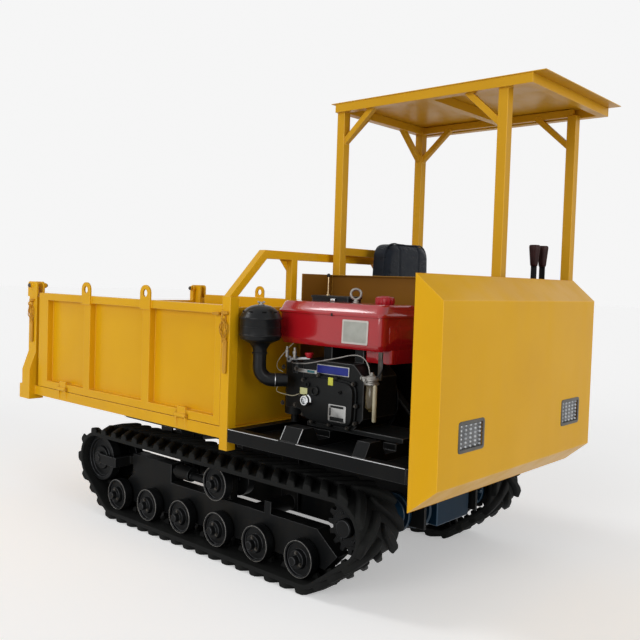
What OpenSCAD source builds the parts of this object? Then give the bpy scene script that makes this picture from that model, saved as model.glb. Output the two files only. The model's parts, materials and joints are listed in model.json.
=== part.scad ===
// Tracked power carrier: tipping drop-side bed, side-mounted engine, driver's deck and canopy.
// Millimetres. X points forward, Y to the driver's left and Z up from the ground.

/* [Bed] */
// Outside width over the side gates
bed_w = 1300; // [1240:10:1340]
// Length of a side gate
gate_len = 1628; // [1500:4:1660]
// Height of a side gate
gate_h = 552; // [500:1:600]
// Thickness of a side gate
gate_t = 40; // [34:1:46]
// Height of a gate's top and bottom rails
gate_rail_h = 40; // [32:1:48]
// Length of the bed behind the side gates
bed_tail = 118; // [110:1:126]
// Side of the square front corner posts
post_w = 53; // [46:1:58]
// Front face of the front corner posts
bed_front_x = 338; // [325:1:342]
// Underside of the bed sills
sill_z = 572; // [570:1:580]
// Height of the bed sills
sill_h = 53; // [45:1:60]
// Thickness of the bed's floor plate
floor_t = 4; // [3:0.5:6]
// Thickness of sheet panels
sheet_t = 4; // [3:0.5:5]
// Top of the headboard guard
guard_z = 1440; // [1400:5:1480]
// Side of the guard's square tube
guard_w = 40; // [34:1:44]

/* [Tracks] */
// Outside width over the tracks
track_out_w = 1300; // [1260:10:1320]
// Width of one track
track_w = 270; // [260:2:280]
// Thickness of the track's band
band_t = 20; // [16:1:24]
// Height of a tread lug
lug_h = 25; // [18:1:30]
// Length of a lug at its root, along the track
lug_root = 56; // [48:1:60]
// Length of a lug at its top, along the track
lug_top = 40; // [30:1:46]
// Spacing of the lugs along the track, before they are fitted to the loop
lug_pitch = 92; // [84:1:100]
// Height of the inside of the track's top run
loop_z = 422; // [415:1:430]
// Radius of the road rollers
roller_r = 81; // [76:1:84]
// Spacing of the road rollers
roller_pitch = 266; // [255:1:268]
// Station of the rear road roller
roller_x0 = -571; // [-580:1:-565]
// Radius of the idler wheel
idler_r = 122; // [116:1:126]
// Station of the idler wheel
idler_x = -726; // [-735:1:-722]
// Tip radius of the drive sprocket
sprocket_r = 120; // [112:1:124]
// Station of the drive sprocket
sprocket_x = 976; // [972:1:985]
// Number of sprocket teeth
sprocket_teeth = 16; // [14:1:18]
// Radius of the track's bend ahead of the front road roller
bend_r = 100; // [90:1:110]
// Width of a track frame beam
beam_w = 80; // [72:1:84]
// Top of a track frame beam
beam_z = 258; // [250:1:264]

/* [Frame] */
// Top of the main frame beams
frame_z = 563; // [560:1:564]
// Height of the main frame beams
frame_h = 123; // [110:1:130]
// Distance between the outer faces of the main frame beams
frame_w = 500; // [480:5:510]
// Width of a main frame beam
frame_beam_w = 70; // [60:1:80]
// Wall of the hollow beams
wall = 6; // [4:0.5:8]
// Station of the bed's tipping axis
tip_x = -1020; // [-1040:5:-1000]
// Bore of the tip cylinder's rod
rod_r = 22; // [18:1:24]
// Height of the deck rails
deck_rail_h = 59; // [52:1:64]
// Width of the deck rails
deck_rail_w = 50; // [40:1:56]

/* [Cowl] */
// Width of the front cowl at its rim
cowl_w = 1348; // [1320:2:1360]
// How far the cowl narrows on each side towards its face
cowl_taper = 13; // [8:1:18]
// Station of the cowl's rim
cowl_x = 1350; // [1345:1:1355]
// Depth of the cowl from rim to face
cowl_d = 116; // [100:1:125]
// Bottom edge of the cowl's rim
cowl_z0 = 469; // [460:1:480]
// Top edge of the cowl's rim
cowl_z1 = 1344; // [1330:1:1360]
// Height of the cowl's folded bevels
cowl_bevel = 96; // [85:1:105]
// Width of a work lamp
lamp_w = 180; // [165:1:190]
// Height of a work lamp
lamp_h = 112; // [104:1:120]
// Distance between the work lamps' centres
lamp_span = 872; // [840:4:900]
// Height of the work lamps' centres
lamp_z = 742; // [735:1:760]

/* [Canopy] */
// Side of the square canopy posts
canopy_post = 46; // [40:1:50]
// Centre line of the right-hand posts
canopy_y0 = 40; // [36:1:44]
// Distance between the right-hand and left-hand posts
canopy_w = 690; // [670:2:700]
// Station of the rear posts
canopy_x0 = 385; // [384:1:390]
// Distance between the rear and front posts
canopy_l = 905; // [895:1:910]
// Underside of the roof frame
canopy_z = 2152; // [2050:2:2200]
// Depth of the roof frame's tube
roof_tube = 42; // [36:1:48]
// How far the roof reaches ahead of the front posts
roof_front = 203; // [190:1:210]
// How far the roof reaches past the side posts
roof_side = 80; // [60:1:90]
// Thickness of the roof sheet
roof_t = 4; // [3:0.5:6]

/* [Driver's place] */
// Centre line of the seat
seat_y = 394; // [388:1:400]
// Width of the seat
seat_w = 484; // [450:2:490]
// Depth of the seat cushion
seat_d = 400; // [380:2:420]
// Top of the seat box
seat_z = 1010; // [980:5:1030]
// Thickness of the seat cushion
seat_t = 110; // [90:1:120]
// Top of the seat back
back_z = 1520; // [1490:5:1540]
// Thickness of the seat back
back_t = 95; // [85:1:100]
// Pivot height of the control levers
lever_z = 700; // [690:1:720]
// Top of the control levers' grips
lever_top = 1512; // [1480:1:1530]

/* [Engine] */
// Crankshaft station
crank_x = 750; // [745:1:760]
// Crankshaft height
crank_z = 776; // [770:1:782]
// Near face of the crankcase
block_y = -412; // [-418:1:-408]
// Depth of the crankcase across the machine
block_d = 236; // [226:1:240]
// Top of the crankcase
block_z = 950; // [940:1:956]
// Length of the tank and hopper unit
tank_l = 615; // [600:1:620]
// Width of the tank and hopper unit
tank_w = 300; // [280:2:305]
// Underside of the tank and hopper unit
tank_z = 1012; // [1005:1:1020]
// Height of the tank and hopper unit
tank_h = 198; // [180:1:205]
// Radius of the flywheel
flywheel_r = 180; // [165:1:184]
// Radius of the air cleaner's bowl
cleaner_r = 98; // [90:1:99]
// Radius of the intake pipe
intake_r = 28; // [24:1:32]

/* [Fits] */
// Radial clearance of pins and shafts in their bores
fit = 0.05; // [0.02:0.01:0.1]
// Gap between pieces that move past each other
gap = 0.5; // [0.3:0.1:0.8]
// Clearance between the side gates and the front posts
gate_gap = 2; // [1:0.5:4]
// Height of the gates' lower edges above the floor plate
gate_lift = 3; // [2.5:0.5:4]

/* [Hidden] */
$fn = 48;
yellow = "#dfa723";
shade = "#c9931b";
black = "#1c1d20";
steel = "#b9bcc0";
red = "#b3202c";
blue = "#1f3f5c";
rubber = "#161616";
dark = "#2a2d2e";
grip_red = "#3b1614";
rollers = 6;

// Bed stations and heights
bed_y = bed_w / 2;
sill_top = sill_z + sill_h;
gate_z0 = sill_top + gate_lift;
gate_z1 = gate_z0 + gate_h;
gate_x1 = bed_front_x - post_w - gate_gap;
gate_x0 = gate_x1 - gate_len;
tail_l = 85;
tail_x1 = gate_x0 - (bed_tail - tail_l);
tail_x0 = tail_x1 - tail_l;
foot_x0 = tail_x0 - 28;
foot_out = 38;
ear_t = 12;
ear_top = gate_z1 + 65;
tail_axis = [tail_x0 + 21, ear_top - 24];
tail_pin_r = 9;
gate_hinge = [bed_y + 6, gate_z0 + 12];
hinge_pin_r = 6;
hinge_len = 60;
lug_plate_t = 10;
hinge_xs = [gate_x0 + 281, gate_x1 - 272];
rib_shares = [0.3175, 0.6493];
rib_xs = [for (s = rib_shares) gate_x0 + gate_len * s];
rib_w = 60;
gate_stiles = [100, 43];
eye_w = 82;
eye_t = 12;
eye_bore_r = 19;
eye_z = gate_z1 + 34;
bed_floor_x0 = tail_x0 + 63;
under_w = 90;
under_z = frame_z + 0.8;

// Track loop: wheels as [station, height, radius of the belt's inside], clockwise from the idler
track_y = track_out_w / 2 - track_w / 2;
ground = band_t + lug_h;
roller_z = ground + gap + roller_r;
roller_xs = [for (i = [0:rollers - 1]) roller_x0 + i * roller_pitch];
idler_z = loop_z - gap - idler_r;
sprocket_z = loop_z - gap - 1 - sprocket_r;
carrier_x = roller_xs[3] - 12;
carrier_z = loop_z - gap - roller_r;
bend_x = roller_xs[rollers - 1] + 46;
loop = [[idler_x, idler_z, idler_r + gap], [sprocket_x, sprocket_z, sprocket_r + gap + 1],
    [bend_x, ground + bend_r, bend_r], [roller_x0, roller_z, roller_r + gap]];
loop_n = len(loop);
function after(i) = loop[(i + 1) % loop_n];
function span(i) = norm([after(i)[0] - loop[i][0], after(i)[1] - loop[i][1]]);
function heading(i) = atan2(after(i)[1] - loop[i][1], after(i)[0] - loop[i][0])
    - asin((loop[i][2] - after(i)[2]) / span(i));
headings = [for (i = [0:loop_n - 1]) heading(i)];
function wrap(a) = a - 360 * floor(a / 360);
function turn(i) = wrap(headings[(i + loop_n - 1) % loop_n] - headings[i]);
function run_len(i) = sqrt(pow(span(i), 2) - pow(loop[i][2] - after(i)[2], 2));
function arc_len(i) = loop[i][2] * turn(i) * PI / 180;
function start_of(i) = i == 0 ? 0 : start_of(i - 1) + arc_len(i - 1) + run_len(i - 1);
starts = [for (i = [0:loop_n]) start_of(i)];
loop_len = starts[loop_n];
function leg(s, i = 0) = i == loop_n - 1 || s < starts[i + 1] ? i : leg(s, i + 1);
// Point on the loop at distance s along it, h outside its inner face
function track_pt(s, h) = let (
    w = s - loop_len * floor(s / loop_len), i = leg(w), t = w - starts[i],
    on_arc = t < arc_len(i), c = loop[i],
    a = on_arc ? headings[(i + loop_n - 1) % loop_n] + 90 - t / c[2] * 180 / PI : headings[i] + 90,
    r = c[2] + h, d = on_arc ? 0 : t - arc_len(i))
    [c[0] + r * cos(a) + d * cos(headings[i]), c[1] + r * sin(a) + d * sin(headings[i])];
lug_n = round(loop_len / lug_pitch);
lug_step = loop_len / lug_n;
flank = (lug_root - lug_top) / 2;
function tread(phase) = [for (k = [0:lug_n - 1]) let (s = (k + phase) * lug_step)
    each [track_pt(s, band_t), track_pt(s + flank, ground),
        track_pt(s + flank + lug_top, ground), track_pt(s + lug_root, band_t)]];
arc_step = 6;
function arc_pts(i) = let (m = ceil(turn(i) / arc_step), a0 = headings[(i + loop_n - 1) % loop_n] + 90)
    [for (j = [0:m]) let (a = a0 - turn(i) * j / m)
        [loop[i][0] + loop[i][2] * cos(a), loop[i][1] + loop[i][2] * sin(a)]];
inner_face = [for (i = [0:loop_n - 1]) each arc_pts(i)];

// Running gear across one track, measured from the track's centre plane
disc_in = beam_w / 2 + 10;
disc_t = 45;
disc_out = disc_in + disc_t;
shaft_r = 20;
hub_r = 20;
hub_out = 36;
hub_flange_r = 42;
hub_flange_out = 10;
hub_bolt_r = 30;
dish = 12;
axle_r = 18;
arm_in = disc_out + 5;
arm_t = 14;
yoke_travel = 30;
stem_w = 40;
stem_z0 = beam_z + 27;
box_x0 = roller_x0 + 66;
box_x1 = box_x0 + 327;
box_h = 93;
yoke_bar_x = idler_x + idler_r + 13;
yoke_bar_l = 30;
stem_l = 300;
tie_xs = [roller_xs[0] + 133, roller_xs[3] + 134];
tie_z = beam_z - 42;
tie_r = 38;
drive_r = 30;
drive_end = track_y - 115;
drive_tube_r = 62;

// Main frame
frame_y1 = frame_w / 2;
frame_y0 = frame_y1 - frame_beam_w;
frame_x1 = cowl_x - 55;
belly_x = [roller_xs[2] + 19, roller_xs[4] + 107];
belly_z = beam_z - 93;
belly_y = frame_y1 - 37;
belly_t = 14;
tip_r = 60;
tip_z = frame_z - tip_r;
tip_pin_r = 15;
tip_lug_t = 16;
tip_lug_r = 38;
deck_x0 = bed_front_x + 3;
deck_x1 = cowl_x;
deck_z = frame_z + deck_rail_h;
deck_y0 = -bed_y;
canopy_y1 = canopy_y0 + canopy_w;
canopy_x1 = canopy_x0 + canopy_l;
deck_y1 = canopy_y1 + canopy_post / 2;
mount_xs = [[crank_x - 87, crank_x + 13], [crank_x + 305, crank_x + 370]];
mount_h = 28;
ramp_h = 58;
ramp_l = 34;

// Tip cylinder: base pin on the main frame, rod eye at the bed
ram_base = [tip_x + 170, tip_z - 173];
ram_eye = [tip_x + 1070, tip_z + 7];
ram_a = atan2(ram_eye[1] - ram_base[1], ram_eye[0] - ram_base[0]);
ram_l = norm(ram_eye - ram_base);
ram_pin_r = 14;
barrel_r = 42;
barrel_l = ram_l - 70;
ram_lug_y = 62;
rod_lug_y = 40;

// Engine
block_y1 = block_y + block_d;
block_x0 = crank_x - 175;
block_x1 = crank_x + 176;
engine_z = deck_z + mount_h;
cover_t = 30;
head_l = 118;
tank_x0 = block_x0 - 168;
tank_y0 = block_y - 8;
tank_top = tank_z + tank_h;
crank_r = 25;
flywheel_y0 = block_y1 + 12;
flywheel_t = 60;
belt_r = 120;
gear_pulley = [crank_x + 330, frame_z - 63];
gear_pulley_r = 95;
belt_w = 44;
belt_t = 11;
cleaner_x = bed_front_x + 80;
cleaner_y = block_y - 123;
cleaner_z = tank_z + 27;
intake_z = crank_z + 70;
neck_l = 78;
intake_turn = 50;
elbow_r = 62;
cap_pos = [tank_x0 + 494, tank_y0 + 170];
cap_r = 42;
ring_pos = [tank_x0 + 338, tank_y0 + 160];
ring_turn = 50;
throttle_pin = [crank_x - 238, block_z - 6];
throttle_pin_r = 6;
knob_at = [120, 20];

// Driver's place
part_y = canopy_y0 - canopy_post / 2 - sheet_t;
part_z = cowl_z1 - 8;
bulkhead_z = tank_z - 12;
seat_x0 = canopy_x0 + 85;
seat_top = seat_z + seat_t;
lever_x = canopy_x1 - 85;
lever_ys = [seat_y + 148, seat_y + 238];
lever_w = 26;
lever_t = 10;
lever_pin_r = 8;

// The part's origin lies on the ground under the middle of its outline
mid_x = (foot_x0 + canopy_x1 + roof_front) / 2;
mid_y = (canopy_y1 + roof_side - bed_y - foot_out) / 2;

module place() translate([-mid_x, -mid_y, 0]) children();
module box(x, y, z) translate([x[0], y[0], z[0]]) cube([x[1] - x[0], y[1] - y[0], z[1] - z[0]]);
// A plate cut to an outline in X and Z, between two Y planes
module plate_xz(y) translate([0, y[1], 0]) rotate([90, 0, 0]) linear_extrude(y[1] - y[0]) children();
// A plate cut to an outline in Y and Z, between two X planes
module plate_yz(x) translate([x[0], 0, 0]) rotate([90, 0, 90]) linear_extrude(x[1] - x[0]) children();
// Round bar along Y
module bar_y(x, z, y, r) translate([x, y[0], z]) rotate([-90, 0, 0]) cylinder(r = r, h = y[1] - y[0]);
// Round bar along X
module bar_x(y, z, x, r) translate([x[0], y, z]) rotate([0, 90, 0]) cylinder(r = r, h = x[1] - x[0]);
module both() {
    children();
    mirror([0, 1, 0]) children();
}
// Right-hand pieces are drawn on the negative Y side and mirrored for the left
module side(left) mirror([0, left ? 1 : 0, 0]) children();
// Square tube between two points, drawn in the X or Y plane by its turn
module strut(p, q, w) {
    d = q - p;
    translate(p) rotate([0, acos(d[2] / norm(d)), atan2(d[1], d[0])])
        translate([-w / 2, -w / 2, 0]) cube([w, w, norm(d)]);
}

// Bed: sills, floor, cross members, corner posts, tail ears and hinge pins
module tail_post() {
    box([tail_x0, tail_x1], [-bed_y, -bed_y + post_w], [sill_z, gate_z1 - 25]);
    plate_xz([-bed_y, -bed_y + ear_t]) tail_ear();
    plate_xz([-bed_y + post_w - ear_t, -bed_y + post_w]) tail_ear();
    box([foot_x0, tail_x1], [-bed_y - foot_out, -bed_y + post_w], [sill_z - 26, sill_z + 60]);
    plate_yz([tail_x0, tail_x1]) polygon([[-bed_y, gate_z0 + 200], [-bed_y - foot_out, gate_z0 + 93],
        [-bed_y - foot_out, sill_z + 40], [-bed_y + 1, sill_z + 40], [-bed_y + 1, gate_z0 + 200]]);
    bar_y(tail_axis[0], tail_axis[1], [-bed_y - 8, -bed_y + post_w + 34], tail_pin_r);
    bar_y(tail_axis[0], tail_axis[1], [-bed_y - 10, -bed_y], 15);
    bar_y(tail_axis[0], tail_axis[1], [-bed_y + post_w + 32, -bed_y + post_w + 42], 15);
}
module tail_ear() {
    translate([tail_x0 - 19, gate_z1 - 26]) square([tail_l + 20, ear_top - gate_z1 + 26 - 20]);
    translate([tail_x0 + 1, gate_z1]) square([tail_l - 20, ear_top - gate_z1]);
    for (x = [tail_x0 + 1, tail_x1 - 19]) translate([x, ear_top - 20]) circle(20);
}
module front_post() {
    box([bed_front_x - post_w, bed_front_x], [-bed_y, -bed_y + post_w], [sill_z - 52, gate_z1 + 40]);
}
module gate_lugs() {
    for (x = hinge_xs) {
        for (s = [-1, 1]) plate_yz([x + s * (hinge_len / 2 + lug_plate_t / 2 + gap) - lug_plate_t / 2,
            x + s * (hinge_len / 2 + lug_plate_t / 2 + gap) + lug_plate_t / 2]) difference() {
            union() {
                translate([-gate_hinge[0], gate_hinge[1]]) circle(11);
                polygon([[-gate_hinge[0] - 4, gate_hinge[1]], [-bed_y - 4, sill_z + 8],
                    [-bed_y + 2, sill_z + 8], [-bed_y + 2, sill_top - 4], [-bed_y, sill_top - 4],
                    [-gate_hinge[0] + 4, gate_hinge[1]]]);
            }
            translate([-bed_y, sill_top]) square(hinge_len);
        }
        bar_x(-gate_hinge[0], gate_hinge[1],
            [x - hinge_len / 2 - lug_plate_t - 3, x + hinge_len / 2 + lug_plate_t + 3], hinge_pin_r);
    }
}
module bed_frame() color(yellow) {
    both() {
        box([tail_x1 - 2, bed_front_x - post_w + 2], [-bed_y, -bed_y + post_w], [sill_z, sill_top]);
        tail_post();
        front_post();
        gate_lugs();
        box([tip_x - 70, bed_front_x - 60], [-frame_y1 - 20, -frame_y1 - 20 + under_w],
            [under_z, sill_top - floor_t]);
        difference() {
            plate_xz([-frame_y1 - 2 - tip_lug_t, -frame_y1 - 2]) {
                translate([tip_x, tip_z]) circle(tip_lug_r);
                translate([tip_x - tip_lug_r, tip_z]) square([2 * tip_lug_r, under_z + 10 - tip_z]);
            }
            bar_y(tip_x, tip_z, [-frame_y1 - 40, -frame_y1], tip_pin_r + fit);
        }
        box([ram_eye[0] - 45, ram_eye[0] + 45], [-rod_lug_y, -rod_lug_y + 12],
            [ram_eye[1] - 45, sill_top - floor_t]);
    }
    for (x = [bed_floor_x0, tip_x - 60, (tip_x + gate_x1) / 2 - 220, (tip_x + gate_x1) / 2 + 220,
        ram_eye[0] - 90, bed_front_x - post_w - 20])
        box([x, x + 60], [-bed_y + post_w - 2, bed_y - post_w + 2], [sill_z + 5, sill_top - floor_t]);
    box([bed_floor_x0, bed_front_x - post_w], [-bed_y + post_w - 4, bed_y - post_w + 4],
        [sill_top - floor_t, sill_top]);
}

// Headboard: sheet between the front posts, rails and the raised guard frame
head_x = [bed_front_x - post_w / 2 - guard_w / 2, bed_front_x - post_w / 2 + guard_w / 2];
board_x = [bed_front_x - post_w, bed_front_x - post_w + 12];
head_in = bed_y - post_w;
guard_slope = 215;
post_top = gate_z1 + 40;
stile_ys = [-231, 140];
module headboard() color(yellow) {
    foot_z = sill_top - floor_t;
    box([board_x[1] - sheet_t, board_x[1]], [-head_in, head_in], [foot_z, gate_z1 - 10]);
    for (z = [foot_z, gate_z1 - 10 - guard_w]) box(board_x, [-head_in, head_in], [z, z + guard_w]);
    plate_yz(head_x) difference() {
        polygon([[-bed_y, post_top], [-bed_y + guard_slope, guard_z], [bed_y - guard_slope, guard_z],
            [bed_y, post_top]]);
        polygon([[-bed_y + guard_w * 1.25, post_top - 1],
            [-bed_y + guard_slope + guard_w * 0.4, guard_z - guard_w],
            [bed_y - guard_slope - guard_w * 0.4, guard_z - guard_w], [bed_y - guard_w * 1.25, post_top - 1]]);
    }
    for (y = stile_ys) box(head_x, [y - guard_w / 2, y + guard_w / 2], [gate_z1 - 80, guard_z - guard_w + 2]);
    plate_yz([head_x[0], head_x[0] + 6]) polygon([[stile_ys[0] - guard_w / 2 + 2, guard_z - guard_w + 2],
        [stile_ys[0] - guard_w / 2 + 2, guard_z - guard_w - 55],
        [stile_ys[0] - guard_w / 2 - 50, guard_z - guard_w + 2]]);
}

// Side gate: welded rail frame with a recessed sheet, ribs, lift eyes and hinge knuckles
module lift_eye(x) {
    difference() {
        plate_xz([-bed_y - eye_t, -bed_y]) {
            translate([x, eye_z]) circle(eye_w / 2);
            translate([x - eye_w / 2, gate_z1 - gate_rail_h - 8])
                square([eye_w, eye_z - gate_z1 + gate_rail_h + 8]);
        }
        bar_y(x, eye_z, [-bed_y - eye_t - 1, -bed_y + 1], eye_bore_r);
    }
}
module gate(left) side(left) color(yellow) {
    inner = -bed_y + gate_t;
    bay = [gate_z0 + gate_rail_h - 1, gate_z1 - gate_rail_h + 1];
    difference() {
        union() {
            box([gate_x0, gate_x1], [-bed_y, inner], [gate_z1 - gate_rail_h, gate_z1]);
            box([gate_x0, gate_x1], [-bed_y, inner], [gate_z0, gate_z0 + gate_rail_h]);
            box([gate_x0, gate_x0 + gate_stiles[0]], [-bed_y, inner], bay);
            box([gate_x1 - gate_stiles[1], gate_x1], [-bed_y, inner], bay);
            for (x = rib_xs) box([x - rib_w / 2, x + rib_w / 2], [-bed_y, inner - 3], bay);
            box([gate_x0 + gate_stiles[0] - 1, gate_x1 - gate_stiles[1] + 1], [inner - sheet_t, inner], bay);
        }
        for (x = hinge_xs) bar_x(-gate_hinge[0], gate_hinge[1],
            [x - hinge_len / 2 - lug_plate_t - 6, x + hinge_len / 2 + lug_plate_t + 6], 14);
    }
    for (x = rib_xs) lift_eye(x);
    for (x = hinge_xs) difference() {
        union() {
            bar_x(-gate_hinge[0], gate_hinge[1], [x - hinge_len / 2, x + hinge_len / 2], 12);
            box([x - hinge_len / 2, x + hinge_len / 2], [-bed_y - 5, -bed_y + 10],
                [gate_hinge[1], gate_hinge[1] + 42]);
        }
        bar_x(-gate_hinge[0], gate_hinge[1], [x - hinge_len, x + hinge_len], hinge_pin_r + fit);
    }
}

// Tailgate: framed sheet hung from lugs on the tail pins
tail_in = bed_y - post_w - 5;
tail_gate_x = [tail_axis[0] - 28, tail_axis[0] + 12];
tail_gate_z1 = tail_axis[1] - 85;
module tailgate() color(yellow) {
    box([tail_gate_x[1] - sheet_t, tail_gate_x[1]], [-tail_in, tail_in], [gate_z0, tail_gate_z1]);
    for (z = [gate_z0, tail_gate_z1 - gate_rail_h])
        box(tail_gate_x, [-tail_in, tail_in], [z, z + gate_rail_h]);
    for (y = [-tail_in, -gate_rail_h / 2, tail_in - gate_rail_h])
        box(tail_gate_x, [y, y + gate_rail_h], [gate_z0, tail_gate_z1]);
    both() difference() {
        plate_xz([-tail_in, -tail_in + 20]) {
            translate([tail_axis[0], tail_axis[1]]) circle(20);
            translate([tail_axis[0] - 20, tail_gate_z1 - 20]) square([32, tail_axis[1] - tail_gate_z1 + 20]);
        }
        bar_y(tail_axis[0], tail_axis[1], [-bed_y, 0], tail_pin_r + fit);
    }
}

// Rubber track: two half-width bands whose lugs are staggered by half a pitch
module track_belt(left) side(left) color(rubber) {
    for (h = [0, 1]) plate_xz([-track_y - track_w / 2 + h * track_w / 2, -track_y + h * track_w / 2])
        difference() {
            polygon(tread(h / 2));
            polygon(inner_face);
        }
}

// Road or carrier roller: two dished discs on a through shaft with a hub cap and bolts
module roller(x, z, left) side(left) color(dark) translate([x, -track_y, z]) rotate([-90, 0, 0]) {
    rotate_extrude() polygon([[0, -disc_out - hub_out], [hub_r - 3, -disc_out - hub_out],
        [hub_r, -disc_out - hub_out + 4], [hub_r, -disc_out - hub_flange_out],
        [hub_flange_r - 3, -disc_out - hub_flange_out], [hub_flange_r, -disc_out + dish],
        [roller_r - 12, -disc_out + dish], [roller_r - 9, -disc_out], [roller_r, -disc_out],
        [roller_r, -disc_in], [shaft_r + 12, -disc_in], [shaft_r, -disc_in + gap],
        [shaft_r, disc_in - gap], [shaft_r + 12, disc_in], [roller_r, disc_in], [roller_r, disc_out],
        [roller_r - 9, disc_out], [roller_r - 12, disc_out - dish], [30, disc_out - dish], [30, disc_out],
        [0, disc_out]]);
    for (a = [30:120:270]) rotate(a) translate([hub_bolt_r, 0, -disc_out - hub_flange_out - 6])
        cylinder(r = 6, h = 7, $fn = 6);
}

// Track frame: hollow beam with roller bores, carrier bracket and tensioner box
beam_nose = [sprocket_x - 46, beam_z - 93];
module beam_outline(w) polygon([[roller_x0 + 83 + w, beam_z - w],
    [sprocket_x - sprocket_r - 41 - w, beam_z - w], [beam_nose[0] - w, beam_nose[1] - w / 2],
    [bend_x + 60 - w, roller_z - 30 + w],
    [roller_x0 - 40 + w, roller_z - 30 + w], [roller_x0 - 40 + w, roller_z + 20]]);
module track_frame(left) side(left) color(black) translate([0, -track_y, 0]) difference() {
    union() {
        difference() {
            plate_xz([-beam_w / 2, beam_w / 2]) beam_outline(0);
            plate_xz([-beam_w / 2 + wall, beam_w / 2 - wall]) beam_outline(wall * 1.5);
        }
        for (x = roller_xs) bar_y(x, roller_z, [-beam_w / 2, beam_w / 2], shaft_r + 9);
        plate_xz([-24, 24]) {
            translate([carrier_x, carrier_z]) circle(34);
            translate([carrier_x - 34, beam_z - 2]) square([68, carrier_z - beam_z + 2]);
        }
        box([box_x0, box_x1], [-beam_w / 2, beam_w / 2], [beam_z - 1, beam_z + box_h]);
        bar_x(0, beam_z + 57, [box_x1 - 1, box_x1 + 20], 26);
        bar_x(0, beam_z + 57, [box_x1 + 18, box_x1 + 122], 36);
        bar_x(0, beam_z + 50, [box_x1 + 120, box_x1 + 210], 20);
        translate([box_x1 + 210, 0, beam_z + 50]) sphere(20);
        box([roller_xs[4] + 3, roller_xs[4] + 43], [-beam_w / 2, -beam_w / 2 + 8], [beam_z - 1, beam_z + 54]);
    }
    for (x = roller_xs) bar_y(x, roller_z, [-beam_w, beam_w], shaft_r + fit);
    bar_y(carrier_x, carrier_z, [-beam_w, beam_w], shaft_r + fit);
    box([box_x0 - 1, yoke_bar_x + yoke_bar_l + stem_l + yoke_travel + 10],
        [-stem_w / 2 - gap, stem_w / 2 + gap], [stem_z0 - gap, stem_z0 + stem_w + gap]);
}

// Idler wheel on its axle, and the tension yoke that carries it
module idler(left) side(left) color(dark) translate([idler_x, -track_y, idler_z]) rotate([-90, 0, 0])
    rotate_extrude() polygon([[0, -arm_in - arm_t - 4], [axle_r, -arm_in - arm_t - 4], [axle_r, -disc_out],
        [60, -disc_out], [64, -disc_out + 14], [idler_r - 24, -disc_out + 14], [idler_r - 18, -disc_out],
        [idler_r, -disc_out], [idler_r, -disc_in], [60, -disc_in], [60, disc_in], [idler_r, disc_in],
        [idler_r, disc_out], [idler_r - 18, disc_out], [idler_r - 24, disc_out - 14], [64, disc_out - 14],
        [60, disc_out], [axle_r, disc_out], [axle_r, arm_in + arm_t + 4], [0, arm_in + arm_t + 4]]);
module tension_yoke(left) side(left) color(black) translate([0, -track_y, 0]) difference() {
    union() {
        for (s = [-1, 1], m = s * (arm_in + arm_t / 2)) plate_xz([m - arm_t / 2, m + arm_t / 2]) {
            translate([idler_x, idler_z]) circle(34);
            translate([idler_x, idler_z - 25]) square([yoke_bar_x + yoke_bar_l - idler_x, 50]);
        }
        box([yoke_bar_x, yoke_bar_x + yoke_bar_l], [-arm_in - arm_t, arm_in + arm_t],
            [idler_z - 25, stem_z0 + stem_w]);
        box([yoke_bar_x + 5, yoke_bar_x + yoke_bar_l + stem_l], [-stem_w / 2, stem_w / 2],
            [stem_z0, stem_z0 + stem_w]);
    }
    bar_y(idler_x, idler_z, [-track_w, track_w], axle_r + fit);
}

// Drive sprocket with its hub and the half shaft that runs into the gearbox
tooth_root = sprocket_r - 24;
function tooth(k) = let (p = 360 / sprocket_teeth, a = k * p)
    [for (v = [[-0.36, tooth_root], [-0.2, sprocket_r], [0.2, sprocket_r], [0.36, tooth_root]])
        [v[1] * cos(a + v[0] * p), v[1] * sin(a + v[0] * p)]];
module sprocket(left) side(left) color(dark) translate([sprocket_x, -track_y, sprocket_z]) rotate([-90, 0, 0]) {
    translate([0, 0, -15]) linear_extrude(30) polygon([for (k = [0:sprocket_teeth - 1]) each tooth(k)]);
    rotate_extrude() polygon([[0, -66], [34, -66], [40, -60], [40, -34], [78, -30], [78, -14], [56, 14],
        [56, 40], [drive_r, 40], [drive_r, track_y - 230], [0, track_y - 230]]);
    for (a = [0:60:300]) rotate(a) translate([62, 0, -38]) cylinder(r = 8, h = 12, $fn = 6);
}

// Main frame: hollow side beams, cross members, track ties, tipping pins and cylinder lugs
module chassis_frame() color(black) {
    both() {
        difference() {
            union() {
                box([tip_x, frame_x1], [-frame_y1, -frame_y0], [frame_z - frame_h, frame_z]);
                bar_y(tip_x, tip_z, [-frame_y1, -frame_y0], tip_r);
            }
            box([tip_x + 70, frame_x1 - wall], [-frame_y1 + wall, -frame_y0 - wall],
                [frame_z - frame_h + wall, frame_z - wall]);
        }
        bar_y(tip_x, tip_z, [-frame_y1 - tip_lug_t - 6, -frame_y1 + 2], tip_pin_r);
        for (x = tie_xs) {
            bar_y(x, tie_z, [-track_y + beam_w / 2, 0], tie_r);
            box([x - 55, x + 55], [-frame_y1, -frame_y1 + 14], [tie_z - tie_r, frame_z - frame_h + 4]);
            box([x - 55, x + 55], [-frame_y0 - 14, -frame_y0], [tie_z - tie_r, frame_z - frame_h + 4]);
        }
        box([ram_base[0] - 70, ram_base[0] + 36], [-ram_lug_y, -ram_lug_y + 12],
            [ram_base[1] - 34, frame_z - frame_h + 40]);
    }
    for (x = [tip_x + 80, 420, frame_x1 - 70])
        box([x, x + 60], [-frame_y0 - 2, frame_y0 + 2], [frame_z - frame_h + 10, frame_z - 25]);
    bar_y(ram_base[0], ram_base[1], [-ram_lug_y - 8, ram_lug_y + 8], ram_pin_r);
}

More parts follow.
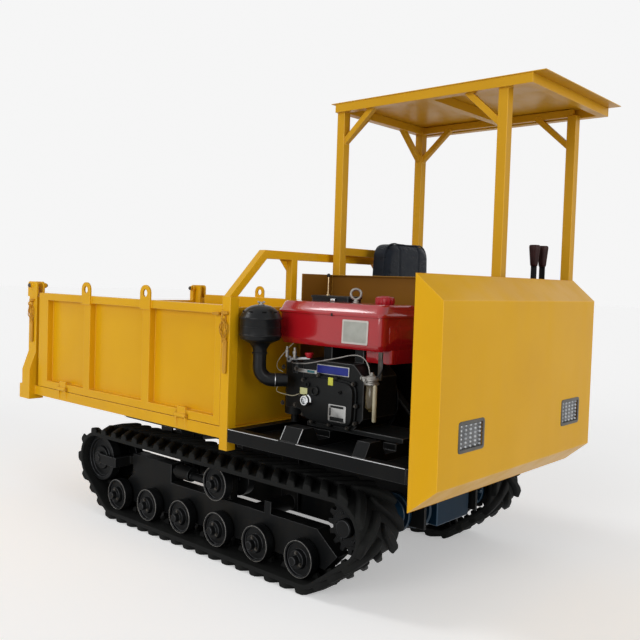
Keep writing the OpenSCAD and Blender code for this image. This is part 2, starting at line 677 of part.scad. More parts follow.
// Belly guard: side plates that carry the gearbox, and the plate under it
module belly_guard() color(black) {
    both() difference() {
        plate_xz([-belly_y - belly_t / 2, -belly_y + belly_t / 2]) polygon([[belly_x[0], belly_z],
            [belly_x[1], belly_z], [belly_x[1] + 90, sprocket_z - 48], [sprocket_x + 154, sprocket_z - 48],
            [sprocket_x + 154, frame_z - frame_h], [belly_x[0], frame_z - frame_h]]);
        bar_y(sprocket_x, sprocket_z, [-frame_y1, -frame_y0], drive_tube_r + gap);
        bar_y(tie_xs[1], tie_z, [-frame_y1, -frame_y0], tie_r + fit);
    }
    box(belly_x, [-belly_y, belly_y], [belly_z, belly_z + 8]);
}

// Tip cylinder, drawn along its own axis from the base pin
module along_ram() translate([ram_base[0], 0, ram_base[1]]) rotate([0, 90 - ram_a, 0]) children();
module tip_barrel() color(black) along_ram() difference() {
    union() {
        rotate([90, 0, 0]) cylinder(r = 30, h = 2 * ram_lug_y - 28, center = true);
        translate([0, 0, 20]) cylinder(r = barrel_r - 6, h = 40);
        translate([0, 0, 45]) cylinder(r = barrel_r, h = barrel_l - 45);
        translate([0, 0, barrel_l - 34]) cylinder(r = barrel_r + 5, h = 34);
    }
    rotate([90, 0, 0]) cylinder(r = ram_pin_r + fit, h = 200, center = true);
    translate([0, 0, 70]) cylinder(r = rod_r + fit, h = ram_l);
}
module tip_rod() color(steel) along_ram() {
    translate([0, 0, 75]) cylinder(r = rod_r, h = ram_l - 75 - 20);
    difference() {
        translate([0, 0, ram_l]) rotate([90, 0, 0]) cylinder(r = 28, h = 44, center = true);
        translate([0, 0, ram_l]) rotate([90, 0, 0]) cylinder(r = ram_pin_r, h = 60, center = true);
    }
}

// Deck: perimeter channel, engine bay floor, driver's floor, lower bulkhead, engine rails and lever bracket
module deck_frame() color(black) {
    z = [frame_z, deck_z];
    difference() {
        box([deck_x0, deck_x1 - 28], [deck_y0, deck_y0 + deck_rail_w], z);
        box([deck_x0 - 1, deck_x1 - 20], [deck_y0 + wall, deck_y0 + deck_rail_w + 1],
            [z[0] + wall, z[1] - wall]);
    }
    box([deck_x0, deck_x1], [deck_y1 - deck_rail_w, deck_y1], z);
    box([deck_x0, deck_x0 + 50], [deck_y0 + wall - 1, deck_y1], z);
    box([deck_x1 - 55, deck_x1], [deck_y0 + wall - 1, deck_y1], z);
    box([deck_x0 + 1, deck_x1 - 30], [deck_y0 + deck_rail_w - 2, -210], [z[0] + 24, z[0] + 24 + sheet_t]);
    for (x = mount_xs) {
        box(x, [deck_y0 + wall - 1, block_y1], [z[0] + wall, z[1]]);
        box(x, [block_y - 20, block_y1], [z[1] - 1, z[1] + mount_h]);
        translate([0, deck_y0 + 11, z[1]]) plate_yz(x)
            polygon([[0, -1], [ramp_l, ramp_h], [3 * ramp_l, ramp_h], [4 * ramp_l, -1]]);
    }
    box([deck_x0 + 20, deck_x1 - 20], [-14, 14], z);
    box([canopy_x0 - 19, cowl_x - 2], [part_y, part_y + sheet_t], [z[1] - 1, bulkhead_z]);
    box([deck_x0 + 1, deck_x1 - 1], [part_y + sheet_t, deck_y1 - 2], [z[1] - sheet_t, z[1]]);
    for (y = [lever_ys[0] - 22, lever_ys[0] + 14, lever_ys[1] - 22, lever_ys[1] + 14])
        box([lever_x - 26, lever_x + 26], [y, y + 8], [z[1] - 1, lever_z + 22]);
    bar_y(lever_x, lever_z, [lever_ys[0] - 28, lever_ys[1] + 28], lever_pin_r);
}

// Partition between the engine bay and the driver, with its return to the headboard side
module partition_panel() color(shade) {
    box([canopy_x0 - 23, cowl_x - 2], [part_y, part_y + sheet_t], [bulkhead_z, part_z]);
    box([canopy_x0 - 23, canopy_x0 - 23 + sheet_t], [stile_ys[0] + guard_w / 2, part_y + 1], [deck_z, part_z]);
    box([canopy_x0 - 19, cowl_x - 2], [part_y - 16, part_y + 1], [part_z - sheet_t, part_z]);
}

// Front cowl: one folded shell with lamp openings and two upright stiffeners
module cowl_shell(t) {
    rim = [cowl_w - 2 * t, cowl_z1 - cowl_z0 - 2 * t];
    face = [cowl_w - 2 * cowl_taper - 2 * t, cowl_z1 - cowl_z0 - 2 * cowl_bevel - t];
    zc = (cowl_z0 + cowl_z1) / 2;
    hull() {
        translate([cowl_x - (t > 0 ? 1 : 0), -rim[0] / 2, zc - rim[1] / 2]) cube([1, rim[0], rim[1]]);
        translate([cowl_x + cowl_d - 1 - t, -face[0] / 2, zc - face[1] / 2]) cube([1, face[0], face[1]]);
    }
}
module front_cowl() color(yellow) difference() {
    union() {
        difference() {
            cowl_shell(0);
            cowl_shell(sheet_t);
        }
        both() box([cowl_x, cowl_x + cowl_d - sheet_t + 1], [-260, -220], [frame_z, cowl_z1 - cowl_bevel - 10]);
    }
    both() box([cowl_x + cowl_d - 30, cowl_x + cowl_d + 1],
        [-lamp_span / 2 - lamp_w / 2, -lamp_span / 2 + lamp_w / 2], [lamp_z - lamp_h / 2, lamp_z + lamp_h / 2]);
}
// Work lamps: framed housings set into the cowl's face, with their lenses
module work_lamps() color("#c9ccd0") both() translate([cowl_x + cowl_d, -lamp_span / 2, lamp_z]) {
    difference() {
        box([-40, 4], [-lamp_w / 2, lamp_w / 2], [-lamp_h / 2, lamp_h / 2]);
        box([-16, 5], [-lamp_w / 2 + 10, lamp_w / 2 - 10], [-lamp_h / 2 + 10, lamp_h / 2 - 10]);
    }
    box([-16, -2], [-lamp_w / 2 + 10, lamp_w / 2 - 10], [-lamp_h / 2 + 10, lamp_h / 2 - 10]);
}

// Canopy: four posts, the roof frame, the rear cross bar and knee braces
brace_w = 28;
brace_l = 195;
brace_h = 176;
roof_x = [canopy_x0 - 25, canopy_x1 + roof_front - 60];
roof_y = [canopy_y0 - 40, canopy_y1 + roof_side - 4];
module canopy_frame() color(yellow) {
    h = canopy_post / 2;
    zt = canopy_z + roof_tube / 2;
    for (x = [canopy_x0, canopy_x1], y = [canopy_y0, canopy_y1])
        box([x - h, x + h], [y - h, y + h], [deck_z, canopy_z + 6]);
    for (y = [roof_y[0], roof_y[1] - roof_tube])
        box(roof_x, [y, y + roof_tube], [canopy_z, canopy_z + roof_tube]);
    for (x = [roof_x[0], (roof_x[0] + roof_x[1]) / 2 - roof_tube / 2, roof_x[1] - roof_tube])
        box([x, x + roof_tube], roof_y, [canopy_z, canopy_z + roof_tube]);
    box([canopy_x0 - 20, canopy_x0 + 20], [canopy_y0, canopy_y1], [back_z - 84, back_z - 44]);
    for (y = [canopy_y0, canopy_y1]) {
        strut([canopy_x0 + 5, y, zt - brace_h], [canopy_x0 + brace_l, y, zt - 5], brace_w);
        strut([canopy_x1 - 5, y, zt - brace_h], [canopy_x1 - brace_l, y, zt - 5], brace_w);
        box([canopy_x0, canopy_x1], [y - brace_w / 2 + 3, y + brace_w / 2 - 3],
            [canopy_z + 3, canopy_z + roof_tube - 3]);
    }
    for (s = [[canopy_y0, 1], [canopy_y1, -1]])
        strut([canopy_x0, s[0] + s[1] * 5, zt - brace_h], [canopy_x0, s[0] + s[1] * brace_l, zt - 5], brace_w);
}
module roof_sheet() color(yellow)
    box([roof_x[0] - 25, canopy_x1 + roof_front], [roof_y[0] - 4, canopy_y1 + roof_side],
        [canopy_z + roof_tube, canopy_z + roof_tube + roof_t]);

// Seat: box, crowned cushion and crowned back. A pad is rings of a rounded rectangle whose sides draw in.
module seat_frame() color(black) {
    x1 = seat_x0 + seat_d - 20;
    y = [seat_y - seat_w / 2 + 20, seat_y + seat_w / 2 - 20];
    difference() {
        box([seat_x0, x1], y, [deck_z, seat_z]);
        box([seat_x0 + wall, x1 - wall], [y[0] + wall, y[1] - wall], [deck_z - 1, seat_z - wall]);
    }
    box([seat_x0 - 26, seat_x0 - 14], [seat_y - 150, seat_y + 150], [seat_z - 40, back_z - 120]);
    box([seat_x0 - 26, seat_x0 + 4], [seat_y - 150, seat_y + 150], [seat_z - 40, seat_z - 10]);
}
pad_sides = 40;
pad_rings = 12;
function ring_pt(w, d, a) = let (p = 0.42, c = cos(a), s = sin(a), waist = 1 - 0.05 * pow(cos(2 * a), 2))
    [w / 2 * sign(c) * pow(abs(c), p) * waist, d / 2 * sign(s) * pow(abs(s), p) * waist];
// Height share and outline share of each ring, from the flat base to the crowned top
function pad_h(t) = 1 - pow(1 - t, 2.2);
function pad_r(t) = t < 0.12 ? 0.94 + 0.06 * t / 0.12 : pow(1 - pow((t - 0.12) / 0.88, 3.2), 0.45);
module pad(w, d, h) {
    n = pad_sides;
    pts = [for (i = [0:pad_rings - 1]) let (t = i / pad_rings, r = pad_r(t)) each
        [for (j = [0:n - 1]) let (q = ring_pt(w, d, 360 * j / n)) [q[0] * r, q[1] * r, h * pad_h(t)]]];
    top = len(pts);
    polyhedron(concat(pts, [[0, 0, h]]), concat(
        [[for (j = [0:n - 1]) j]],
        [for (i = [0:pad_rings - 2], j = [0:n - 1]) let (a = i * n + j, b = i * n + (j + 1) % n) each
            [[a, a + n, b], [b, a + n, b + n]]],
        [for (j = [0:n - 1]) [top - n + j, top, top - n + (j + 1) % n]]));
}
module seat_cushion() color("#151a24")
    translate([seat_x0 + seat_d / 2 + 6, seat_y, seat_z + 0.3]) pad(seat_d, seat_w, seat_t);
module seat_back() color("#151a24")
    translate([seat_x0 - 13.7, seat_y, (seat_top + 25 + back_z) / 2]) rotate([0, 90, 0])
        pad(back_z - seat_top - 25, seat_w, back_t);

// Control lever: flat bar on the cross pin, with a moulded grip
module lever(y) color(grip_red) difference() {
    union() {
        box([lever_x - lever_w / 2, lever_x + lever_w / 2], [y - lever_t / 2, y + lever_t / 2],
            [lever_z, lever_top - 90]);
        bar_y(lever_x, lever_z, [y - 13, y + 13], 20);
        translate([lever_x, y, lever_top - 105]) cylinder(r1 = 15, r2 = 21, h = 95);
        translate([lever_x, y, lever_top - 10]) cylinder(r1 = 21, r2 = 15, h = 10);
    }
    bar_y(lever_x, lever_z, [y - 40, y + 40], lever_pin_r + fit);
}

// Gearbox: casing between the frame beams, side drive tubes with bolted flanges and an input boss
module gearbox() color(blue) difference() {
    union() {
        box([sprocket_x - 120, sprocket_x + 134], [-frame_y0 + 90, frame_y0 - 6],
            [sprocket_z - 64, frame_z - 40]);
        bar_y(sprocket_x, sprocket_z, [-frame_y0 + 84, frame_y0 - 6], 100);
        both() {
            bar_y(sprocket_x, sprocket_z, [-drive_end, -60], drive_tube_r);
            bar_y(sprocket_x, sprocket_z, [-drive_end, -drive_end + 22], 92);
            bar_y(sprocket_x, sprocket_z, [-belly_y - belly_t / 2 - 20, -belly_y - belly_t / 2], 88);
            for (a = [0:45:315]) bar_y(sprocket_x + 78 * cos(a), sprocket_z + 78 * sin(a),
                [-drive_end + 20, -drive_end + 34], 9);
        }
        bar_y(gear_pulley[0], gear_pulley[1], [-frame_y0 + 86, 60], 42);
        box([sprocket_x + 100, frame_x1 - 70], [-70, 70], [frame_z - frame_h + 20, frame_z - 40]);
    }
    both() bar_y(sprocket_x, sprocket_z, [-drive_end - 1, -215], drive_r + fit);
    bar_y(gear_pulley[0], gear_pulley[1], [-frame_y0 + 80, -40], 18 + fit);
}
pulley_y = flywheel_y0 + flywheel_t / 2;
module gearbox_pulley() color(dark) translate([gear_pulley[0], pulley_y, gear_pulley[1]]) rotate([-90, 0, 0])
    rotate_extrude() polygon([[0, -belt_w / 2 - 5], [gear_pulley_r + 4, -belt_w / 2 - 5],
        [gear_pulley_r + 4, -belt_w / 2 - 1], [gear_pulley_r, -belt_w / 2],
        [gear_pulley_r, belt_w / 2], [gear_pulley_r + 4, belt_w / 2 + 1],
        [gear_pulley_r + 4, belt_w / 2 + 4], [18, belt_w / 2 + 4], [18, -pulley_y - 60], [0, -pulley_y - 60]]);
module flywheel() color(dark) translate([crank_x, pulley_y, crank_z]) rotate([-90, 0, 0])
    rotate_extrude() polygon([[0, -flywheel_t / 2 - 60], [crank_r, -flywheel_t / 2 - 60],
        [crank_r, -flywheel_t / 2], [flywheel_r, -flywheel_t / 2], [flywheel_r, -belt_w / 2 - 2],
        [belt_r + 5, -belt_w / 2 - 1], [belt_r, -belt_w / 2], [belt_r, belt_w / 2],
        [belt_r + 5, belt_w / 2 + 1], [belt_r + 5, belt_w / 2 + 4], [0, belt_w / 2 + 4]]);
// Belt set: a flat loop round both pulleys
belt_dir = atan2(gear_pulley[1] - crank_z, gear_pulley[0] - crank_x);
belt_c = norm([gear_pulley[0] - crank_x, gear_pulley[1] - crank_z]);
belt_a = asin((belt_r - gear_pulley_r) / belt_c);
// Points of the loop, h outside its inner face, round the flywheel's pulley and then the gearbox's
function belt_arc(c, r, a0, a1) = let (m = ceil((a1 - a0) / arc_step))
    [for (j = [0:m]) let (a = a0 + (a1 - a0) * j / m) [c + r * cos(a), r * sin(a)]];
function belt_loop(h) = concat(belt_arc(0, belt_r + gap + h, 90 - belt_a, 270 + belt_a),
    belt_arc(belt_c, gear_pulley_r + gap + h, belt_a - 90, 90 - belt_a));
module drive_belts() color(rubber) plate_xz([pulley_y - belt_w / 2 + 1, pulley_y + belt_w / 2 - 1])
    translate([crank_x, crank_z]) rotate(belt_dir) difference() {
        polygon(belt_loop(belt_t));
        polygon(belt_loop(0));
    }

// Engine: crankcase, timing cover, cylinder head, tank unit and fittings
module engine_block() color(dark) difference() {
    union() {
        plate_xz([block_y, block_y1]) polygon([[block_x0, engine_z + 90], [block_x0 + 60, engine_z + 18],
            [block_x1 - 50, engine_z + 18], [block_x1, engine_z + 70], [block_x1, block_z - 55],
            [block_x1 - 35, block_z - 20], [block_x1 - 60, block_z], [block_x0, block_z]]);
        box([block_x0 + 25, mount_xs[1][1] + 10], [block_y + 10, block_y1 - 4],
            [engine_z, engine_z + 20]);
        for (x = [block_x0 + 60, block_x1 - 110])
            box([x, x + 50], [block_y + 70, block_y1 - 40], [block_z - 1, tank_z]);
        bar_y(crank_x, crank_z, [block_y1 - 1, block_y1 + 8], 60);
    }
    bar_y(crank_x, crank_z, [block_y1 - 80, block_y1 + 20], crank_r + fit);
}
module timing_cover() color(dark) {
    y = [block_y - cover_t, block_y];
    plate_xz(y) polygon([[block_x0 + 8, crank_z + 60], [block_x0 + 6, crank_z - 40],
        [block_x0 + 40, crank_z - 92], [block_x1 - 60, crank_z - 92], [block_x1 - 40, crank_z - 70],
        [block_x1 - 36, crank_z + 66],
        [block_x1 - 60, crank_z + 92], [block_x0 + 60, crank_z + 96]]);
    bar_y(crank_x - 106, crank_z, [y[0] - 26, y[0] + 1], 30);
    bar_y(crank_x - 60, crank_z + 50, [y[0] - 12, y[0] + 1], 22);
    bar_y(crank_x - 105, crank_z + 70, [y[0] - 8, y[0] + 1], 12);
    box([crank_x + 20, crank_x + 105], [y[0] - 2, y[0] + 1], [crank_z - 72, crank_z + 6]);
}
head_y0 = block_y + 17;
module cylinder_head() color(dark) {
    box([block_x0 - head_l, block_x0], [head_y0, block_y1 - 20], [crank_z - 60, block_z - 20]);
    for (z = [crank_z - 40:24:block_z - 50])
        box([block_x0 - head_l - 12, block_x0 - head_l + 1], [head_y0 + 12, block_y1 - 120], [z, z + 10]);
    box([throttle_pin[0] - 12, throttle_pin[0] + 12], [head_y0 - 8, head_y0 + 6],
        [intake_z + intake_r + 6, throttle_pin[1] + 12]);
    bar_y(throttle_pin[0], throttle_pin[1], [head_y0 - 50, head_y0], throttle_pin_r);
}
sump_h = 57;
module fuel_tank() color(red) {
    x1 = tank_x0 + tank_l;
    ledge = tank_top - 55;
    plate_yz([tank_x0, x1]) polygon([[tank_y0 + 16, tank_z], [tank_y0, tank_z + 30], [tank_y0 + 4, ledge],
        [tank_y0 - 4, ledge], [tank_y0 - 4, ledge + 12], [tank_y0 + 46, tank_top - 4], [tank_y0 + 60, tank_top],
        [tank_y0 + tank_w - 40, tank_top], [tank_y0 + tank_w, tank_top - 40], [tank_y0 + tank_w, tank_z]]);
    box([x1 - 150, x1 - 8], [tank_y0 + 80, tank_y0 + tank_w - 52], [tank_z - sump_h, tank_z + 1]);
}
hopper_x = [tank_x0 + 67, tank_x0 + 305];
float_at = [hopper_x[0] + 95, tank_y0 + 170];
module hopper_cap() color(black) {
    box(hopper_x, [tank_y0 + 150, tank_y0 + 255], [tank_top, tank_top + 26]);
    translate([float_at[0], float_at[1], tank_top + 25]) cylinder(r = 3, h = 92);
    translate([float_at[0], float_at[1], tank_top + 120]) sphere(9);
}
module lifting_ring() color(steel) translate([ring_pos[0], ring_pos[1], tank_top]) {
    cylinder(r = 9, h = 14);
    translate([0, 0, 38]) rotate([0, 90, -ring_turn]) rotate_extrude() translate([26, 0]) circle(6);
}
module fuel_cap() color(red) translate([cap_pos[0], cap_pos[1], tank_top + 0.3]) {
    cylinder(r = cap_r, h = 26);
    for (a = [0:30:330]) rotate(a) translate([cap_r - 2, 0, 0]) cylinder(r = 5, h = 24);
    translate([0, 0, 26]) cylinder(r1 = cap_r - 2, r2 = cap_r - 14, h = 6);
}
module air_cleaner() color(black) translate([cleaner_x, cleaner_y, cleaner_z])
    rotate_extrude() polygon([[0, -neck_l], [intake_r + 5, -neck_l], [intake_r + 5, -48], [intake_r + 18, -22],
        [cleaner_r - 8, -14], [cleaner_r - 4, 0], [cleaner_r - 4, 96], [cleaner_r, 98], [cleaner_r, 106],
        [cleaner_r - 10, 124], [cleaner_r - 34, 140], [30, 147], [9, 148], [9, 163], [0, 163]]);
module intake_pipe() color(black) {
    difference() {
        translate([cleaner_x, cleaner_y, 0]) rotate(intake_turn) {
            translate([0, 0, intake_z + elbow_r])
                cylinder(r = intake_r + 2, h = cleaner_z - neck_l - intake_z - elbow_r);
            translate([elbow_r, 0, intake_z + elbow_r]) rotate([90, 0, 0])
                rotate(180) rotate_extrude(angle = 90) translate([elbow_r, 0]) circle(intake_r);
            bar_x(0, intake_z, [elbow_r - 4, 260], intake_r + 2);
        }
        translate([cleaner_x, head_y0, intake_z - 100]) cube([400, 400, 200]);
    }
}
filter_pos = [crank_x + 247, block_y - 38, crank_z + 104];
bowl_h = 110;
tube_h = 150;
strap_y = [52, 60];
module fuel_filter() color(steel) translate(filter_pos) {
    translate([0, 0, -bowl_h]) cylinder(r = 24, h = bowl_h);
    cylinder(r = 32, h = 40);
    translate([26, -10, -tube_h]) cylinder(r = 9, h = tube_h + 5);
    box([-10, 10], [18, strap_y[1]], [15, 27]);
    box([-10, 10], strap_y, [15, tank_z - filter_pos[2]]);
}
muffler_pos = [block_x0 - head_l - 62, block_y1 - 90];
muffler_r = 48;
muffler_z = [deck_z + 40, block_z - 38];
module exhaust_muffler() color(dark) {
    translate(muffler_pos) {
        translate([0, 0, muffler_z[0]]) cylinder(r = muffler_r, h = muffler_z[1] - muffler_z[0]);
        translate([0, 0, deck_z]) cylinder(r = 18, h = muffler_z[0] - deck_z + 5);
    }
    bar_y(muffler_pos[0], muffler_z[0] + 55, [muffler_pos[1], muffler_pos[1] + muffler_r + 52], 17);
    bar_x(muffler_pos[1], block_z - 90, [muffler_pos[0], block_x0 - head_l], 20);
}
module throttle_lever() color(red) {
    y = head_y0 - 42;
    translate([throttle_pin[0], y, throttle_pin[1]]) {
        difference() {
            union() {
                rotate([0, -atan2(knob_at[1], knob_at[0]), 0]) box([0, knob_at[0]], [-3, 3], [-6, 6]);
                bar_y(0, 0, [-4, 4], 15);
            }
            bar_y(0, 0, [-20, 20], throttle_pin_r + fit);
        }
        translate([knob_at[0], 0, knob_at[1] - 6]) cylinder(r1 = 15, r2 = 19, h = 24);
    }
}

SIDES = ["right", "left"];

place() chassis_frame();
place() belly_guard();
place() deck_frame();
place() partition_panel();
place() gearbox();
place() gearbox_pulley();
place() flywheel();
place() drive_belts();
place() engine_block();
place() timing_cover();
place() cylinder_head();
place() fuel_tank();
place() hopper_cap();
place() lifting_ring();
place() fuel_cap();
place() air_cleaner();
place() intake_pipe();
place() fuel_filter();
place() exhaust_muffler();
place() throttle_lever();
place() front_cowl();
place() work_lamps();
place() canopy_frame();
place() roof_sheet();
place() seat_frame();
place() seat_cushion();
place() seat_back();
place() bed_frame();
place() headboard();
place() tailgate();
place() tip_barrel();
place() tip_rod();
for (k = [0, 1]) {
    s = SIDES[k];
    left = k == 1;
    place() lever(lever_ys[k]);
    place() gate(left);
    place() track_frame(left);
    place() track_belt(left);
    place() sprocket(left);
    place() idler(left);
    place() tension_yoke(left);
    place() roller(carrier_x, carrier_z, left);
    for (i = [1:rollers])
        place() roller(roller_xs[i - 1], roller_z, left);
}
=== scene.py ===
import json
import math

import bmesh
import bpy
import numpy as np
from mathutils import Matrix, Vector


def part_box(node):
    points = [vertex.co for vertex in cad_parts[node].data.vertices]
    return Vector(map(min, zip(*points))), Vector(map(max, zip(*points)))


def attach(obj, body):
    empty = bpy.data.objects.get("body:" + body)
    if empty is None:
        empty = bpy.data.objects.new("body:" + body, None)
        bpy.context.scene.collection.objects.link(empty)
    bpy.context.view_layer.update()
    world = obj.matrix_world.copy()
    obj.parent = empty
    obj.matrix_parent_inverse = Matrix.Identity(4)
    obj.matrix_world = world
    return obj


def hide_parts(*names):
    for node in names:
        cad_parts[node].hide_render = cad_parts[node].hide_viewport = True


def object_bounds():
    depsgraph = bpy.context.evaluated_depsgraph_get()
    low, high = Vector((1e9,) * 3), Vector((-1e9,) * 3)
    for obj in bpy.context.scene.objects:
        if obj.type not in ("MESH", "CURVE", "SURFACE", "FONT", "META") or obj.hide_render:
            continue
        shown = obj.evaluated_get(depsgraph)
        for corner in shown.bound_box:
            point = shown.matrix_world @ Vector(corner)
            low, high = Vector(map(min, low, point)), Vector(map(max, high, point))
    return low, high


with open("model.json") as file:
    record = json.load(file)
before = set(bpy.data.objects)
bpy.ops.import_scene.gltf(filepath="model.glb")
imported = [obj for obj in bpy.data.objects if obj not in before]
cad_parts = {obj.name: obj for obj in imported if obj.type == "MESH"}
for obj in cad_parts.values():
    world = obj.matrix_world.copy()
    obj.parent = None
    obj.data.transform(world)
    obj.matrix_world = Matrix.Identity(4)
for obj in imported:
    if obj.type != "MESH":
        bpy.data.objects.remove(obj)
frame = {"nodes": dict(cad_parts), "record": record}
cadLow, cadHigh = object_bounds()
nodes = frame["nodes"]
bodies = frame["record"]["behaviour"]["bodies"]
bodyOf = {node: body for body, members in bodies.items() for node in members}

# Pieces are laid out from the machine's own origin: on the ground, midway between the tracks
tailToOrigin = 1.491
middleY = (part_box("track_belt_right")[0].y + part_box("track_belt_left")[1].y) / 2
origin = np.array([cadLow.x + tailToOrigin, middleY, 0.0])
xWay, yWay, zWay = np.eye(3)


def nodeBox(node):
    low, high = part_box(node)
    return np.array(low) - origin, np.array(high) - origin


# Shapes


# Surface of two parameters: each point of the grid is joined to its neighbours, round again where it closes
def gridPart(points, closedU=False, closedV=False):
    countU, countV = points.shape[:2]
    u, v = np.meshgrid(np.arange(countU - (not closedU)), np.arange(countV - (not closedV)), indexing="ij")
    nextU, nextV = (u + 1) % countU, (v + 1) % countV
    quads = np.stack([u * countV + v, nextU * countV + v, nextU * countV + nextV, u * countV + nextV], -1)
    return points.reshape(-1, 3), quads.reshape(-1, 4)


# Rings closed at both ends by a copy of the end ring drawn in to its middle
def cappedRings(rings):
    ends = [np.repeat(rings[i:i + 1].mean(1, keepdims=True), rings.shape[1], 1) for i in (0, len(rings) - 1)]
    return gridPart(np.concatenate([ends[0], rings, ends[1]]), closedV=True)


def unitRows(v):
    return v / np.maximum(np.linalg.norm(v, axis=-1, keepdims=True), 1e-12)


# Two directions square to an axis and to each other
def squareTo(axis):
    axis = unitRows(np.asarray(axis, float))
    first = np.cross(axis, np.eye(3)[np.argmin(np.abs(axis))])
    first = unitRows(first)
    return first, np.cross(axis, first)


# Corners rounded: each becomes a parabola between points a reach before and after it
def roundCorners(points, reach, steps=4, closed=False):
    p = np.asarray(points, float)
    before, after = np.roll(p, 1, 0) - p, np.roll(p, -1, 0) - p
    lengths = [np.linalg.norm(w, axis=1, keepdims=True) for w in (before, after)]
    reach = np.broadcast_to(np.asarray(reach, float).reshape(-1, 1), (len(p), 1))
    a, b = [p + w / d * np.minimum(reach, 0.48 * d) for w, d in zip((before, after), lengths)]
    t = np.linspace(0, 1, steps + 1).reshape(-1, 1, 1)
    curve = ((1 - t) ** 2 * a + 2 * t * (1 - t) * p + t ** 2 * b).transpose(1, 0, 2)
    if closed:
        return curve.reshape(-1, p.shape[1])
    return np.concatenate([p[:1], curve[1:-1].reshape(-1, p.shape[1]), p[-1:]])


# Smooth line through points: a cubic in each span, its end slopes taken from the points on either side
def smoothLine(points, perSpan=8):
    p = np.asarray(points, float)
    q = np.concatenate([2 * p[:1] - p[1:2], p, 2 * p[-1:] - p[-2:-1]])
    t = np.linspace(0, 1, perSpan, endpoint=False).reshape(1, -1, 1)
    a, b, c, d = [q[i:len(q) - 3 + i, None] for i in range(4)]
    cubic = (3 * b - a - 3 * c + d) * t ** 3
    line = 0.5 * (2 * b + (c - a) * t + (2 * a - 5 * b + 4 * c - d) * t ** 2 + cubic)
    return np.concatenate([line.reshape(-1, p.shape[1]), p[-1:]])


# Angles in even steps round a circle
def turnSteps(count):
    return np.linspace(0, 2 * math.pi, count, endpoint=False)


def circle(radius, count):
    angle = turnSteps(count)
    return radius * np.stack([np.cos(angle), np.sin(angle)], -1)


# Turned shape: a line of (radius, height) pairs carried round an axis through a point
def turned(profile, centre, axis, count=48):
    profile = np.asarray(profile, float)
    axis = unitRows(np.asarray(axis, float))
    first, second = squareTo(axis)
    angle = turnSteps(count)[:, None]
    ring = np.cos(angle) * first + np.sin(angle) * second
    points = np.asarray(centre, float) + profile[:, 1, None, None] * axis + profile[:, 0, None, None] * ring
    return gridPart(points, closedV=True)


# Profile carried along a path: rows (across, up) held square to the path, with a chosen up direction
def swept(path, profile, up, closed=False):
    path, profile = np.asarray(path, float), np.asarray(profile, float)
    if closed:
        ahead = np.roll(path, -1, 0) - np.roll(path, 1, 0)
    else:
        ahead = np.gradient(path, axis=0)
    ahead = unitRows(ahead)
    across = unitRows(np.cross(ahead, np.asarray(up, float)))
    above = np.cross(across, ahead)
    points = path[:, None] + profile[None, :, :1] * across[:, None] + profile[None, :, 1:] * above[:, None]
    return gridPart(points, closedU=True, closedV=True) if closed else cappedRings(points)


# Round bar along a path, with its up direction the axis that the path leans to least
def roundBar(path, radius, sides=10, closed=False):
    path = np.asarray(path, float)
    spread = np.ptp(path, axis=0)
    up = np.eye(3)[np.argmin(spread)]
    return swept(path, circle(radius, sides), up, closed)


# Rectangle with rounded corners, as points counter-clockwise
def rectangleRing(width, height, corner, steps=4):
    w, h = width / 2, height / 2
    return roundCorners([(-w, -h), (w, -h), (w, h), (-w, h)], max(corner, 1e-4), steps, closed=True)


# Outline drawn in by an amount, along its own normals
def drawnIn(outline, amount):
    ahead = unitRows(np.roll(outline, -1, 0) - np.roll(outline, 1, 0))
    return outline + amount * np.stack([-ahead[:, 1], ahead[:, 0]], -1)


# Plate cut to an outline: rings of it from back to front, with the edges of both faces eased
def plate(outline, place, across, up, depth, ease=0.001):
    out = np.cross(across, up)
    steps = [(ease, 0.0), (0.3 * ease, 0.3 * ease), (0.0, ease),
             (0.0, depth - ease), (0.3 * ease, depth - 0.3 * ease), (ease, depth)]
    rings = [np.asarray(place, float) + ring[:, :1] * across + ring[:, 1:] * up + level * out
             for ring, level in ((drawnIn(outline, amount), level) for amount, level in steps)]
    return cappedRings(np.stack(rings))


# Rounded block: a plate whose outline is a rectangle with rounded corners
def block(place, across, up, size, depth, corner=0.004, ease=0.0015):
    return plate(rectangleRing(size[0], size[1], corner), place, across, up, depth, ease)


# Bolt: a washer and a hexagon head with a chamfered top, seated at a point and facing along an axis
def bolt(seat, axis, size):
    axis = unitRows(np.asarray(axis, float))
    first, second = squareTo(axis)
    angle = np.arange(12) * math.pi / 6
    hexagon = np.where(np.arange(12) % 2, math.cos(math.pi / 6), 1.0)
    levels = [(1.35, 0.0, 0), (1.35, 0.22, 0), (1.0, 0.22, 1), (1.0, 0.85, 1), (0.86, 1.0, 0)]
    rings = []
    for radius, height, faceted in levels:
        reach = size * radius * (hexagon if faceted else np.ones(12))
        rings.append(np.asarray(seat, float) + size * height * axis
                     + reach[:, None] * (np.cos(angle)[:, None] * first + np.sin(angle)[:, None] * second))
    return cappedRings(np.stack(rings))


# Finishes


def addNode(tree, kind, values=None, **settings):
    node = tree.nodes.new("ShaderNode" + kind)
    for key, value in settings.items():
        setattr(node, key, value)
    for key, value in (values or {}).items():
        if isinstance(value, bpy.types.NodeSocket):
            tree.links.new(value, node.inputs[key])
        else:
            node.inputs[key].default_value = value
    return node


def startFinish(name, colour, rough, metal=0.0, specular=0.5):
    material = bpy.data.materials.new(name)
    material.use_nodes = True
    material.diffuse_color = (*colour, 1.0)
    tree = material.node_tree
    shader = tree.nodes["Principled BSDF"]
    shader.inputs["Base Color"].default_value = (*colour, 1.0)
    shader.inputs["Roughness"].default_value = rough
    shader.inputs["Metallic"].default_value = metal
    shader.inputs["Specular IOR Level"].default_value = specular
    place = addNode(tree, "TexCoord").outputs["Object"]
    return material, tree, shader, place


